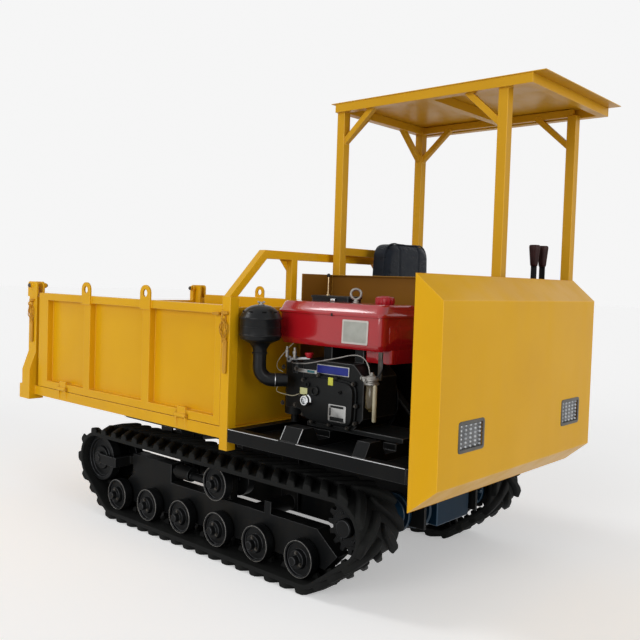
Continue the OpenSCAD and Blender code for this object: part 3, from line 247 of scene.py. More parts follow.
def grain(tree, place, scale, detail=3.0, stretch=(1.0, 1.0, 1.0)):
    if stretch != (1.0, 1.0, 1.0):
        place = addNode(tree, "Mapping", {"Vector": place, "Scale": stretch}).outputs["Vector"]
    return addNode(tree, "TexNoise", {"Vector": place, "Scale": scale, "Detail": detail}).outputs["Fac"]


def remap(tree, value, low, high, newLow=0.0, newHigh=1.0):
    return addNode(tree, "MapRange", {"Value": value, "From Min": low, "From Max": high,
                                      "To Min": newLow, "To Max": newHigh}).outputs["Result"]


def blendColours(tree, share, first, second):
    mix = addNode(tree, "Mix", {0: share}, data_type="RGBA")
    for index, colour in ((6, first), (7, second)):
        if isinstance(colour, bpy.types.NodeSocket):
            tree.links.new(colour, mix.inputs[index])
        else:
            mix.inputs[index].default_value = (*colour, 1.0)
    return mix.outputs[2]


def feed(tree, shader, name, socket):
    tree.links.new(socket, shader.inputs[name])


def raiseBump(tree, shader, height, strength, distance):
    bump = addNode(tree, "Bump", {"Height": height, "Strength": strength, "Distance": distance})
    feed(tree, shader, "Normal", bump.outputs["Normal"])


# Sprayed paint: slow drift between two tones, dust low down, orange peel and uneven gloss
def paintFinish(name, colour, shade, rough, coat=0.0, specular=0.5, dust=0.12):
    dustColour = (0.30, 0.25, 0.17)
    material, tree, shader, place = startFinish(name, colour, rough, specular=specular)
    drift = remap(tree, grain(tree, place, 1.9, 4.0), 0.35, 0.68)
    tone = blendColours(tree, drift, colour, shade)
    height = addNode(tree, "SeparateXYZ", {"Vector": place}).outputs["Z"]
    low = remap(tree, height, 0.25, 0.85, dust, 0.0)
    smears = remap(tree, grain(tree, place, 1.0, 6.0, (9.0, 9.0, 2.2)), 0.42, 0.7)
    dusty = addNode(tree, "Math", {0: low, 1: smears}, operation="MULTIPLY").outputs[0]
    feed(tree, shader, "Base Color", blendColours(tree, dusty, tone, dustColour))
    feed(tree, shader, "Roughness", remap(tree, smears, 0.0, 1.0, rough - 0.04, rough + 0.1))
    shader.inputs["Coat Weight"].default_value = coat
    shader.inputs["Coat Roughness"].default_value = 0.08
    raiseBump(tree, shader, grain(tree, place, 210.0, 2.0), 0.05, 0.002)
    return material


# Rubber: matt black with a worn grey bloom and a fine pebbled skin
def rubberFinish(name, colour, bloom):
    material, tree, shader, place = startFinish(name, colour, 0.72, specular=0.1)
    wearAndGlint = remap(tree, grain(tree, place, 7.0, 6.0), 0.46, 0.72)
    feed(tree, shader, "Base Color", blendColours(tree, wearAndGlint, colour, bloom))
    feed(tree, shader, "Roughness", remap(tree, wearAndGlint, 0.0, 1.0, 0.62, 0.85))
    raiseBump(tree, shader, grain(tree, place, 160.0, 3.0), 0.25, 0.002)
    return material


# Painted casting: two close tones over a sand-cast skin
def castFinish(name, colour, shade, rough, metal=0.0, specular=0.4):
    material, tree, shader, place = startFinish(name, colour, rough, metal, specular)
    patch = remap(tree, grain(tree, place, 11.0, 5.0), 0.38, 0.66)
    feed(tree, shader, "Base Color", blendColours(tree, patch, colour, shade))
    feed(tree, shader, "Roughness", remap(tree, patch, 0.0, 1.0, rough - 0.08, rough + 0.1))
    raiseBump(tree, shader, grain(tree, place, 130.0, 4.0), 0.22, 0.002)
    return material


# Bare metal: fine directional scratches and a little tarnish
def metalFinish(name, colour, tarnish, rough):
    material, tree, shader, place = startFinish(name, colour, rough, metal=1.0)
    spots = remap(tree, grain(tree, place, 34.0, 5.0), 0.45, 0.75)
    feed(tree, shader, "Base Color", blendColours(tree, spots, colour, tarnish))
    scratches = grain(tree, place, 60.0, 3.0, (1.0, 1.0, 14.0))
    feed(tree, shader, "Roughness", remap(tree, scratches, 0.3, 0.7, rough * 0.8, rough * 1.4))
    return material


# Seat vinyl: leather grain, soft creases and a thin glossy skin
def vinylFinish(name, colour, shade):
    material, tree, shader, place = startFinish(name, colour, 0.36, specular=0.12)
    pores = addNode(tree, "TexVoronoi", {"Vector": place, "Scale": 420.0}).outputs["Distance"]
    creases = grain(tree, place, 17.0, 4.0, (1.0, 1.0, 2.4))
    both = addNode(tree, "Math", {0: creases, 1: 4.0, 2: pores}, operation="MULTIPLY_ADD").outputs[0]
    tone = remap(tree, creases, 0.4, 0.62)
    feed(tree, shader, "Base Color", blendColours(tree, tone, colour, shade))
    feed(tree, shader, "Roughness", remap(tree, creases, 0.35, 0.65, 0.26, 0.46))
    raiseBump(tree, shader, both, 0.35, 0.003)
    return material


# Moulded plastic: a faint swirl in tone and a fine satin texture
def plasticFinish(name, colour, shade, rough, specular=0.45):
    material, tree, shader, place = startFinish(name, colour, rough, specular=specular)
    swirl = remap(tree, grain(tree, place, 22.0, 3.0), 0.4, 0.65)
    feed(tree, shader, "Base Color", blendColours(tree, swirl, colour, shade))
    raiseBump(tree, shader, grain(tree, place, 320.0, 2.0), 0.08, 0.001)
    return material


# Finishes by their maker: the record's slot, then what the maker takes after the name
looks = {
    paintFinish: {
        "yellowPaint": ("yellow_paint", (0.76, 0.405, 0.006), (0.71, 0.365, 0.005), 0.34, 0.04, 0.12),
        # Canopy yellow: a darker copy of the body yellow, painted shade for the frame and roof under the
        # roof's cover
        "canopyShadedYellow": ("yellow_paint", (0.64, 0.335, 0.012), (0.59, 0.300, 0.010), 0.36, 0.04, 0.12),
        "latchYellow": ("yellow_paint", (0.62, 0.30, 0.012), (0.44, 0.20, 0.010), 0.45, 0.0, 0.3),
        # Partition yellow darkened to brown-mustard: painted shade for the dim bay behind the engine
        "paintedShadeYellow": ("yellow_paint", (0.22, 0.095, 0.009), (0.17, 0.070, 0.007), 0.5, 0.0, 0.12),
        "blackPaint": ("black_paint", (0.0040, 0.0044, 0.0048), (0.0055, 0.0060, 0.0064),
                       0.42, 0.0, 0.08, 0.02),
        # Near-white for the bars on the deck edges: a painted highlight
        "paintedGlint": ("black_paint", (0.72, 0.73, 0.74), (0.58, 0.59, 0.60), 0.30, 0.0, 0.5, 0.0),
        "gearboxBlue": ("gearbox_blue", (0.0025, 0.020, 0.042), (0.0018, 0.014, 0.030),
                        0.36, 0.0, 0.08, 0.01),
        "tankRed": ("tank_red", (0.44, 0.009, 0.015), (0.38, 0.0075, 0.012), 0.22, 0.9, 0.3, 0.0),
    },
    castFinish: {
        "runningGear": ("running_gear", (0.0045, 0.0049, 0.0052), (0.0075, 0.0080, 0.0084), 0.42, 0.0, 0.10),
        "engineGrey": ("engine_grey", (0.0090, 0.0098, 0.0100), (0.0062, 0.0068, 0.0070), 0.44, 0.0, 0.14),
    },
    metalFinish: {
        "darkBolt": ("running_gear", (0.085, 0.078, 0.070), (0.045, 0.038, 0.032), 0.42),
        "brightSteel": ("bright_steel", (0.52, 0.53, 0.54), (0.34, 0.34, 0.33), 0.30),
        "lampCup": ("lamp_clear", (0.34, 0.35, 0.36), (0.19, 0.20, 0.21), 0.30),
        "castSilver": ("bright_steel", (0.30, 0.29, 0.27), (0.16, 0.155, 0.145), 0.50),
        "bronze": ("bright_steel", (0.42, 0.31, 0.18), (0.28, 0.20, 0.11), 0.35),
        "chrome": ("chrome", (0.80, 0.81, 0.82), (0.66, 0.66, 0.66), 0.10),
        "silverPlate": ("bright_steel", (0.40, 0.40, 0.39), (0.26, 0.26, 0.255), 0.42),
    },
    rubberFinish: {
        "trackRubber": ("track_rubber", (0.006, 0.0062, 0.006), (0.012, 0.0128, 0.012)),
        # Near-black for the vent louvres: painted shade for the inside of the slots
        "ventSlotShade": ("track_rubber", (0.003, 0.003, 0.003), (0.006, 0.006, 0.006)),
    },
    plasticFinish: {
        "blackCan": ("black_paint", (0.0060, 0.0066, 0.0074), (0.0085, 0.0090, 0.0100), 0.30, 0.2),
        "gripRed": ("grip_red", (0.030, 0.0080, 0.0075), (0.020, 0.0055, 0.0055), 0.4, 0.15),
        "capRed": ("cap_red", (0.40, 0.010, 0.020), (0.34, 0.008, 0.016), 0.3, 0.25),
        "lampLens": ("lamp_clear", (0.14, 0.143, 0.147), (0.10, 0.103, 0.106), 0.16, 0.4),
        "lampFrame": ("lamp_clear", (0.085, 0.080, 0.068), (0.06, 0.056, 0.048), 0.4),
        "creamTube": ("bright_steel", (0.46, 0.42, 0.29), (0.38, 0.34, 0.23), 0.3),
        "amberBowl": ("bright_steel", (0.085, 0.062, 0.024), (0.05, 0.036, 0.014), 0.22, 0.5),
        "bluePlate": ("gearbox_blue", (0.010, 0.020, 0.22), (0.008, 0.016, 0.18), 0.3, 0.3),
        "tealGlass": ("gearbox_blue", (0.03, 0.15, 0.17), (0.02, 0.11, 0.13), 0.25),
        "yellowLabel": ("yellow_paint", (0.60, 0.60, 0.06), (0.52, 0.52, 0.05), 0.4),
        "paleLabel": ("yellow_paint", (0.62, 0.62, 0.30), (0.55, 0.55, 0.26), 0.4),
        "whiteLabel": ("bright_steel", (0.62, 0.58, 0.54), (0.55, 0.52, 0.48), 0.38),
        "greyLabel": ("bright_steel", (0.40, 0.41, 0.37), (0.34, 0.35, 0.31), 0.4),
    },
    vinylFinish: {
        "seatVinyl": ("seat_vinyl", (0.0035, 0.0062, 0.0115), (0.0055, 0.009, 0.016)),
    },
}

# Edge colours, brighter than each finish: painted highlights along the eased edges. The maker, then all that
# it takes
edgeHighlightLooks = {
    "yellowPaint": (paintFinish, "yellowEdge", (0.82, 0.45, 0.02), (0.78, 0.41, 0.015), 0.32, 0.08, 0.25),
    # Canopy edge colour: the shaded copy again, brightened along the edges as a painted highlight
    "canopyShadedYellow": (paintFinish, "canopyEdge", (0.76, 0.42, 0.03), (0.70, 0.37, 0.02), 0.34, 0.08, 0.25),
    # Edge colour of the darkened partition yellow: painted shade, brightened along the edges as a painted
    # highlight
    "paintedShadeYellow": (paintFinish, "paintedShadeEdge", (0.50, 0.26, 0.02), (0.44, 0.22, 0.015), 0.4, 0.0, 0.3),
    "blackPaint": (paintFinish, "blackEdge", (0.026, 0.027, 0.028), (0.017, 0.018, 0.019),
                   0.32, 0.0, 0.3, 0.0),
    "runningGear": (metalFinish, "runningEdge", (0.040, 0.041, 0.043), (0.02, 0.02, 0.02), 0.42),
    "trackRubber": (rubberFinish, "trackEdge", (0.02, 0.021, 0.02), (0.03, 0.032, 0.03)),
    "gearboxBlue": (paintFinish, "gearboxEdge", (0.02, 0.06, 0.105), (0.014, 0.042, 0.078), 0.32, 0.1, 0.3),
    "engineGrey": (castFinish, "engineEdge", (0.050, 0.052, 0.053), (0.030, 0.031, 0.032), 0.36, 0.0, 0.3),
    "brightSteel": (metalFinish, "steelEdge", (0.72, 0.72, 0.72), (0.5, 0.5, 0.5), 0.22),
}
finishes = {}
for maker, rows in looks.items():
    for name, (slot, *look) in rows.items():
        edgeHighlight = edgeHighlightLooks.get(name)
        finishes[name] = (maker(name, *look), edgeHighlight and edgeHighlight[0](*edgeHighlight[1:]), slot)
print("finishes made:", len(finishes))


def addObject(name, data):
    made = bpy.data.objects.new(name, data)
    bpy.context.scene.collection.objects.link(made)
    return made


# Piece from parts: one mesh with doubled points merged, faces turned outwards and sharp edges marked
def makePiece(name, parts, finish, body="chassis", replaces=(), sharp=35.0):
    starts = np.cumsum([0] + [len(points) for points, faces in parts[:-1]])
    points = np.concatenate([points for points, faces in parts]) + origin
    faces = np.concatenate([faces + start for (ignored, faces), start in zip(parts, starts)])
    mesh = bpy.data.meshes.new(name)
    mesh.from_pydata(points.tolist(), [], faces.tolist())
    return settlePiece(name, mesh, finish, body, replaces, sharp)


meshSettings = {"merge": 2e-6, "sliver": 1e-6, "flatAngle": 0.4, "bevelFrom": 38.0, "bevelSegments": 2}


def settlePiece(name, mesh, finish, body, replaces=(), sharp=35.0, edge=0.0, flat=False):
    work = bmesh.new()
    work.from_mesh(mesh)
    bmesh.ops.remove_doubles(work, verts=work.verts, dist=meshSettings["merge"])
    bmesh.ops.dissolve_degenerate(work, edges=work.edges, dist=meshSettings["sliver"])
    if flat:
        flatAngle = math.radians(meshSettings["flatAngle"])
        bmesh.ops.dissolve_limit(work, angle_limit=flatAngle, verts=work.verts, edges=work.edges)
        bmesh.ops.connect_verts_concave(work, faces=work.faces)
    bmesh.ops.recalc_face_normals(work, faces=work.faces)
    work.to_mesh(mesh)
    work.free()
    mesh.polygons.foreach_set("use_smooth", np.ones(len(mesh.polygons), bool))
    mesh.set_sharp_from_angle(angle=math.radians(sharp))
    material, edgeHighlight, slot = finishes[finish]
    mesh.materials.clear()
    mesh.materials.append(material)
    piece = addObject(name, mesh)
    if edge:
        mesh.materials.append(edgeHighlight)
        bevel = piece.modifiers.new("easedEdges", "BEVEL")
        bevel.width = edge
        bevel.segments = meshSettings["bevelSegments"]
        bevel.limit_method = "ANGLE"
        bevel.angle_limit = math.radians(meshSettings["bevelFrom"])
        bevel.use_clamp_overlap = False
        bevel.loop_slide = False
        # The bevel faces take the brighter edge colour, a painted highlight along each eased edge
        bevel.material = 1
        even = piece.modifiers.new("evenNormals", "WEIGHTED_NORMAL")
        even.mode = "FACE_AREA"
        even.keep_sharp = True
    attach(piece, body)
    if replaces:
        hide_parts(*replaces)
    return piece


def camelName(node):
    first, *rest = node.split("_")
    return first + "".join(word.capitalize() for word in rest)


# A construction node's own shape with its edges eased: a merged copy of its mesh stands in for it
def dressNode(node, finish, edge):
    mesh = nodes[node].data.copy()
    mesh.name = camelName(node)
    for name in ("custom_normal", "sharp_face"):
        if name in mesh.attributes:
            mesh.attributes.remove(mesh.attributes[name])
    return settlePiece(camelName(node), mesh, finish, bodyOf[node], [node], 32.0, edge, flat=True)


sides = (("right", -1.0), ("left", 1.0))
rollers = [f"roller_{side}_{i}" for side, sign in sides for i in range(1, 7)]
rollers += [f"carrier_{side}" for side, sign in sides]
dressed = {
    "yellowPaint": (["bed_frame", "headboard", "tailgate", "side_gate_right", "side_gate_left", "front_cowl"],
                    0.0018),
    # Canopy frame and roof take the darker copy of the yellow: painted shade
    "canopyShadedYellow": (["canopy_frame", "roof_sheet"], 0.0018),
    # The partition panel takes the darkened yellow, a painted shade
    "paintedShadeYellow": (["partition_panel"], 0.001),
    "blackPaint": (["deck_frame", "chassis_frame", "belly_guard", "seat_frame", "tip_barrel",
                    "track_frame_right", "track_frame_left", "tension_yoke_right", "tension_yoke_left"],
                   0.0018),
    "runningGear": (rollers + ["idler_right", "idler_left", "sprocket_right", "sprocket_left",
                               "gearbox_pulley", "flywheel"], 0.0015),
    "gearboxBlue": (["gearbox"], 0.004),
    "trackRubber": (["drive_belts"], 0.002),
    "engineGrey": (["engine_block", "cylinder_head", "exhaust_muffler"], 0.003),
    "brightSteel": (["tip_rod"], 0.001),
}
for finish, (names, edge) in dressed.items():
    for node in names:
        dressNode(node, finish, edge)
print("construction nodes dressed")


# Tracks: the loop runs round the idler, the sprocket, the front bend and the rear roller
trackShape = {
    "bend": (0.805, 0.145, 0.100),
    "runGap": 0.0005,
    "sprocketGap": 0.0015,
    "band": 0.020,
    "lugHeight": 0.025,
    "lugs": 46,
    "lugRoot": 0.054,
    "lugTop": 0.036,
    "lean": 0.105,
    "lugEnds": (0.001, 0.008),
    "lugShares": [0.0, 0.03, 0.12, 0.5, 0.88, 0.96, 1.0],
    "lugSqueeze": [0.72, 0.94, 1.0, 1.0, 1.0, 0.9, 0.6],
    "bandSteps": 400,
    "hornHeight": 0.022,
    "hornAcross": (0.020, 0.042),
    "hornHalves": (0.018, 0.010),
}


# A wheel of the loop: its centre's length and height, and its radius with the gap to the belt
def loopWheel(node, gap):
    low, high = nodeBox(node)
    return (low[0] + high[0]) / 2, (low[2] + high[2]) / 2, (high[2] - low[2]) / 2 + trackShape[gap]


def trackLoop(side):
    wheels = np.array([loopWheel(f"idler_{side}", "runGap"), loopWheel(f"sprocket_{side}", "sprocketGap"),
                       trackShape["bend"], loopWheel(f"roller_{side}_1", "runGap")])
    step = np.roll(wheels, -1, 0) - wheels
    reach = np.hypot(step[:, 0], step[:, 1])
    heading = np.arctan2(step[:, 1], step[:, 0]) - np.arcsin(-step[:, 2] / reach)
    turn = np.mod(np.roll(heading, 1) - heading, 2 * math.pi)
    arc = wheels[:, 2] * turn
    run = np.sqrt(reach ** 2 - step[:, 2] ** 2)
    return wheels, heading, arc, np.concatenate([[0.0], np.cumsum(arc + run)])


# Point at a distance along the loop and a height outside its inner face, on a wheel's arc or a straight run
def loopPoints(loop, distance, height):
    wheels, heading, arc, starts = loop
    distance = np.mod(distance, starts[-1])
    leg = np.clip(np.searchsorted(starts, distance, side="right") - 1, 0, len(wheels) - 1)
    along = distance - starts[leg]
    before = np.roll(heading, 1)[leg]
    onArc = along < arc[leg]
    angle = np.where(onArc, before - along / wheels[leg, 2], heading[leg]) + math.pi / 2
    rest = np.where(onArc, 0.0, along - arc[leg])
    radius = wheels[leg, 2] + height
    x = wheels[leg, 0] + radius * np.cos(angle) + rest * np.cos(heading[leg])
    z = wheels[leg, 1] + radius * np.sin(angle) + rest * np.sin(heading[leg])
    return x, z


# Lug profile along the track: a trapezium with rounded shoulders, as (distance, height) pairs
def lugProfile(root, top, height):
    r, t = root / 2, top / 2
    return np.array([(-r, -0.003), (-(r + t) / 2, height * 0.5), (-t - 0.001, height * 0.85),
                     (-t + 0.005, height), (t - 0.005, height), (t + 0.001, height * 0.85),
                     ((r + t) / 2, height * 0.5), (r, -0.003)])


def makeTrack(side, sign):
    shape = trackShape
    loop = trackLoop(side)
    length = loop[3][-1]
    low, high = nodeBox(f"track_belt_{side}")
    outer, inner = (low[1], high[1]) if sign < 0 else (high[1], low[1])
    middle, half = (outer + inner) / 2, abs(outer - inner) / 2

    def onTrack(distance, height, across):
        x, z = loopPoints(loop, distance, height)
        return np.stack([x, middle + sign * across, z], -1)

    # Band: a rounded strip carried round the loop
    strip = rectangleRing(2 * half, shape["band"], 0.006, 3)
    distance = np.linspace(0, length, shape["bandSteps"], endpoint=False)[:, None]
    band = onTrack(distance, strip[None, :, 1] + shape["band"] / 2,
                   np.broadcast_to(strip[None, :, 0], (shape["bandSteps"], len(strip))))
    parts = [gridPart(band, closedU=True, closedV=True)]

    # Lugs: bars that lean back from the middle to each edge, staggered by half a pitch
    pitch = length / shape["lugs"]
    profile = lugProfile(shape["lugRoot"], shape["lugTop"], shape["lugHeight"])
    share = np.array(shape["lugShares"])
    squeeze = np.array(shape["lugSqueeze"])[:, None]
    edgeGap, middleGap = shape["lugEnds"]
    for edgeSide, phase in ((1.0, 0.0), (-1.0, 0.5)):
        across = edgeSide * (half - edgeGap - share * (half - middleGap))
        lean = shape["lean"] * (1 - share)
        for k in range(shape["lugs"]):
            along = (k + phase) * pitch + lean[:, None] + profile[None, :, 0] * squeeze
            raised = np.where(profile[None, :, 1] > 0, squeeze ** 0.5, 1.0)
            height = shape["band"] + profile[None, :, 1] * raised
            rings = onTrack(along, height, np.broadcast_to(across[:, None], along.shape))
            parts.append(cappedRings(rings))

    # Guide horns: paired wedges inside the band, either side of the sprocket's teeth
    near, far = shape["hornAcross"]
    hornBase, hornTop = shape["hornHalves"]
    tall = shape["hornHeight"]
    for k in range(shape["lugs"]):
        for way in (-1.0, 1.0):
            levels = np.array([(0.002, hornBase, near, far),
                               (-tall * 0.7, hornTop + 0.003, near + 0.002, far - 0.004),
                               (-tall, hornTop, near + 0.004, far - 0.007)])
            along = k * pitch + levels[:, 1:2] * np.array([-1, 1, 1, -1])
            across = way * np.stack([levels[:, 2], levels[:, 2], levels[:, 3], levels[:, 3]], -1)
            parts.append(cappedRings(onTrack(along, np.repeat(levels[:, :1], 4, 1), across)))
    makePiece(f"track{side.capitalize()}", parts, "trackRubber", "chassis", [f"track_belt_{side}"],
              sharp=40.0)


for side, sign in sides:
    makeTrack(side, sign)
print("tracks made")


# Roller trim: a thin bright ring round the rim, a painted highlight, and bolts on the hub
rollerTrim = {"face": 0.095, "hub": 0.010, "rimInset": 0.003, "rimBar": 0.0009, "boltCircle": 0.030,
              "boltSize": 0.0065, "rimSteps": 56}


def middleOfTrack(node):
    low, high = nodeBox("track_belt_right" if "right" in node else "track_belt_left")
    return (low[1] + high[1]) / 2


def makeRollerTrim(node, sign):
    low, high = nodeBox(node)
    centre = (low + high) / 2
    radius = (high[2] - low[2]) / 2
    out = np.array([0.0, sign, 0.0])
    face = middleOfTrack(node) + sign * rollerTrim["face"]
    turn = turnSteps(rollerTrim["rimSteps"])
    rimRadius = radius - rollerTrim["rimInset"]
    rim = np.stack([centre[0] + rimRadius * np.cos(turn), np.full(len(turn), face),
                    centre[2] + rimRadius * np.sin(turn)], -1)
    # The rim ring is a thin silver wire standing for the light caught on the rim: a painted highlight
    makePiece(camelName(node) + "Rim", [roundBar(rim, rollerTrim["rimBar"], 6, True)], "castSilver",
              bodyOf[node])
    seats = [(centre[0] + rollerTrim["boltCircle"] * math.sin(a), face + sign * rollerTrim["hub"],
              centre[2] + rollerTrim["boltCircle"] * math.cos(a)) for a in np.radians((0, 120, 240))]
    makePiece(camelName(node) + "Bolts", [bolt(seat, out, rollerTrim["boltSize"]) for seat in seats],
              "darkBolt", bodyOf[node])


for node in rollers:
    makeRollerTrim(node, -1.0 if "right" in node else 1.0)
print("roller trim made")


# Upright rounded box: a rounded rectangle in plan at each level, drawn in by one amount all round, or by
# three at the front, ends and back
def planLoft(low, high, levels, corner):
    rings = []
    for height, *inset in levels:
        front, ends, back = inset * 3 if len(inset) == 1 else inset
        size = (high[0] - low[0] - 2 * ends, high[1] - low[1] - front - back)
        middle = ((low[0] + high[0]) / 2, (low[1] + front + high[1] - back) / 2)
        ring = rectangleRing(*size, corner, 5) + np.array(middle)
        rings.append(np.column_stack([ring, np.full(len(ring), height)]))
    return cappedRings(np.stack(rings))


# Ball: a half circle turned round an upright axis
def ball(centre, radius, count=20):
    t = np.linspace(0, math.pi, 11)
    return turned(np.stack([radius * np.sin(t), -radius * np.cos(t)], -1), centre, zWay, count)


# Place moved along the machine's length and height
def shifted(place, x, z):
    return place + x * xWay + z * zWay


# Torus: a small circle carried round a big one that is square to an axis
def torus(centre, axis, radius, wire, count=40, sides=12):
    points = turned(circle(wire, sides) + (radius, 0.0), centre, axis, count)[0]
    return gridPart(points.reshape(sides, count, 3), True, True)


# Fuel tank with its hopper: body and lid are upright lofts, the lid with a lip and a sloping shoulder
tankShape = {
    "sump": 0.057,
    "ledge": 0.055,
    "corner": 0.034,
    "sumpFrom": (0.150, 0.084),
    "sumpTo": (0.008, 0.052),
    "labelAt": (0.874, 1.0895),
    "labelSize": (0.142, 0.103),
    "labelRim": 0.016,
    "labelLean": (0.0, 0.004, 0.126),
    "labelSink": 0.0055,
    "notchAt": 0.745,
    "endPanel": (0.190, 0.072),
}


def makeTank():
    shape = tankShape
    low, high = nodeBox("fuel_tank")
    base, ledge, top, corner = low[2] + shape["sump"], high[2] - shape["ledge"], high[2], shape["corner"]
    body = planLoft(low, high, [(base, 0.028, 0.024, 0.024), (base + 0.003, 0.019, 0.015, 0.015),
                                (base + 0.026, 0.005), (base + 0.034, 0.004),
                                (ledge + 0.005, 0.008, 0.006, 0.005)], corner)
    lid = planLoft(low, high, [(ledge, 0.002), (ledge + 0.002, 0), (ledge + 0.010, 0), (ledge + 0.013, 0.003),
                               (ledge + 0.021, 0.010, 0.007, 0.008), (top - 0.008, 0.024, 0.013, 0.030),
                               (top - 0.002, 0.032, 0.018, 0.040), (top, 0.046, 0.028, 0.054)], corner)
    sumpLow = np.array([high[0] - shape["sumpFrom"][0], low[1] + shape["sumpFrom"][1], low[2]])
    sumpHigh = np.array([high[0] - shape["sumpTo"][0], high[1] - shape["sumpTo"][1], base])
    sump = planLoft(sumpLow, sumpHigh, [(low[2], 0.008), (low[2] + 0.003, 0.002), (low[2] + 0.008, 0),
                                        (base + 0.006, 0)], 0.012)
    endY, endZ = (low[1] + high[1]) / 2, (base + ledge) / 2
    endPanel = block((high[0] - 0.006, endY, endZ), yWay, zWay, shape["endPanel"], 0.003, 0.012, 0.0012)
    makePiece("fuelTankShell", [body, lid, sump, endPanel], "tankRed", "chassis", ["fuel_tank"], sharp=26.0)
    leaning = unitRows(np.array(shape["labelLean"]))
    x, z = shape["labelAt"]
    face = (x, low[1] + shape["labelSink"], z)
    label = block(face, xWay, leaning, shape["labelSize"], 0.0022, 0.006, 0.0006)
    makePiece("tankLabel", [label], "whiteLabel")
    inner = [size - shape["labelRim"] for size in shape["labelSize"]]
    panel = block(face, xWay, leaning, inner, 0.0027, 0.004, 0.0004)
    makePiece("tankLabelPanel", [panel], "greyLabel")
    # The lip's notch is a small black block: its darkness is painted shade for the cut
    place = (shape["notchAt"], low[1] + 0.002, ledge + 0.003)
    notch = block(place, xWay, zWay, (0.010, 0.013), 0.003, 0.002, 0.0005)
    makePiece("tankLidNotch", [notch], "blackCan")


# Hopper lid with its float rod, the lifting ring and the ribbed fuel cap
topShape = {
    "lidHeight": 0.026,
    "rodAt": (0.095, 0.020),
    "rod": 0.0026,
    "rodFoot": [(0, 0), (0.008, 0), (0.008, 0.004), (0.005, 0.008), (0, 0.008)],
    "ball": 0.009,
    "catchAt": (0.62, 0.008),
    "catchSize": (0.026, 0.011),
    "ringTurn": -50.0,
    "ring": 0.023,
    "ringWire": 0.006,
    "ringHeight": 0.038,
    "collar": [(0, 0), (0.014, 0), (0.014, 0.004), (0.010, 0.008), (0.009, 0.014), (0, 0.014)],
    "cap": [(0, 0, 0), (0.95, 0, 0), (1.0, 0.003, 1), (1.0, 0.022, 1), (0.94, 0.028, 0.6), (0.82, 0.031, 0),
            (0.66, 0.032, 0), (0.60, 0.0285, 0), (0, 0.0285, 0)],
    "capRibs": 14,
    "ribDepth": 0.032,
    "capGrip": (0.046, 0.012),
}


def makeTankTop():
    low, high = nodeBox("hopper_cap")
    top = low[2] + topShape["lidHeight"]
    lid = planLoft(low, high, [(low[2], 0.004), (low[2] + 0.014, 0.004), (low[2] + 0.015, 0),
                               (top - 0.004, 0), (top - 0.001, 0.0015), (top, 0.005)], 0.014)
    makePiece("hopperLid", [lid], "blackCan", "chassis", ["hopper_cap"])
    foot = np.array([low[0] + topShape["rodAt"][0], low[1] + topShape["rodAt"][1], top])
    tip = np.array([foot[0], foot[1], high[2] - topShape["ball"]])
    rod = [roundBar([foot - 0.004 * zWay, tip], topShape["rod"], 8),
           turned(topShape["rodFoot"], foot, zWay, 16)]
    makePiece("floatRod", rod, "bronze")
    makePiece("floatKnob", [ball(tip, topShape["ball"])], "blackCan")
    share, rise = topShape["catchAt"]
    stud = (low[0] + share * (high[0] - low[0]), low[1], low[2] + rise)
    makePiece("hopperCatch", [block(stud, xWay, zWay, topShape["catchSize"], 0.008, 0.003, 0.001)], "chrome")

    low, high = nodeBox("lifting_ring")
    turn = math.radians(topShape["ringTurn"])
    axis = np.array([math.cos(turn), math.sin(turn), 0.0])
    centre = np.array([(low[0] + high[0]) / 2, (low[1] + high[1]) / 2, low[2] + topShape["ringHeight"]])
    foot = np.array([centre[0], centre[1], low[2]])
    collar = turned(topShape["collar"], foot, zWay, 20)
    ring = torus(centre, axis, topShape["ring"], topShape["ringWire"])
    makePiece("liftingRing", [ring, collar], "castSilver", "chassis", ["lifting_ring"])

    # Cap: radius follows a turned profile and a cosine of the angle that gives the grip ribs
    low, high = nodeBox("fuel_cap")
    centre, radius = (low + high) / 2, (high[0] - low[0]) / 2 - 0.003
    profile = np.array(topShape["cap"])
    angle = turnSteps(112)
    ribs = 1 + topShape["ribDepth"] * profile[:, 2:] * np.cos(topShape["capRibs"] * angle)[None]
    reach = radius * profile[:, :1] * ribs
    points = np.stack([centre[0] + reach * np.cos(angle), centre[1] + reach * np.sin(angle),
                       np.broadcast_to(low[2] + profile[:, 1:2], reach.shape)], -1)
    grip = block((centre[0], centre[1], low[2] + 0.028), xWay, yWay, topShape["capGrip"], 0.007, 0.005, 0.002)
    makePiece("fuelCap", [gridPart(points, closedV=True), grip], "capRed", "fuel_cap", ["fuel_cap"])


# Air cleaner: a turned can with a domed lid, louvres and a wing nut, on a bent intake pipe
cleanerShape = {
    "neck": 0.078,
    "can": [(0, -0.078), (0.032, -0.078), (0.032, -0.054), (0.036, -0.045), (0.047, -0.028), (0.070, -0.017),
            (0.087, -0.010), (0.0925, -0.002), (0.094, 0.006), (0.0965, 0.008), (0.0975, 0.011),
            (0.0965, 0.014), (0.0935, 0.016), (0.0935, 0.080), (0.0965, 0.083), (0.0975, 0.087),
            (0.0965, 0.091), (0.0925, 0.095), (0.087, 0.106), (0.078, 0.119), (0.064, 0.132), (0.045, 0.142),
            (0.022, 0.1475), (0, 0.148)],
    "louvres": 8,
    "louvreAt": (0.079, 0.116),
    "louvreSize": (0.020, 0.007),
    "louvreTilt": (0.52, 0.86),
    "louvreFrom": 0.2,
    "crown": 0.147,
    "nut": [(0, 0), (0.016, 0), (0.016, 0.003), (0.009, 0.004), (0.008, 0.013), (0, 0.015)],
    "wing": (0.7, 0.55),
    "wingSize": (0.018, 0.009),
    "bands": [(-0.070, 0.0335, 0.003, 36, 8), (0.049, 0.0938, 0.0014, 64, 6)],
    "elbow": 0.062,
    "pipe": 0.0305,
    "turn": 50.0,
    "pipeBelow": 0.115,
    "clampAt": 0.072,
}


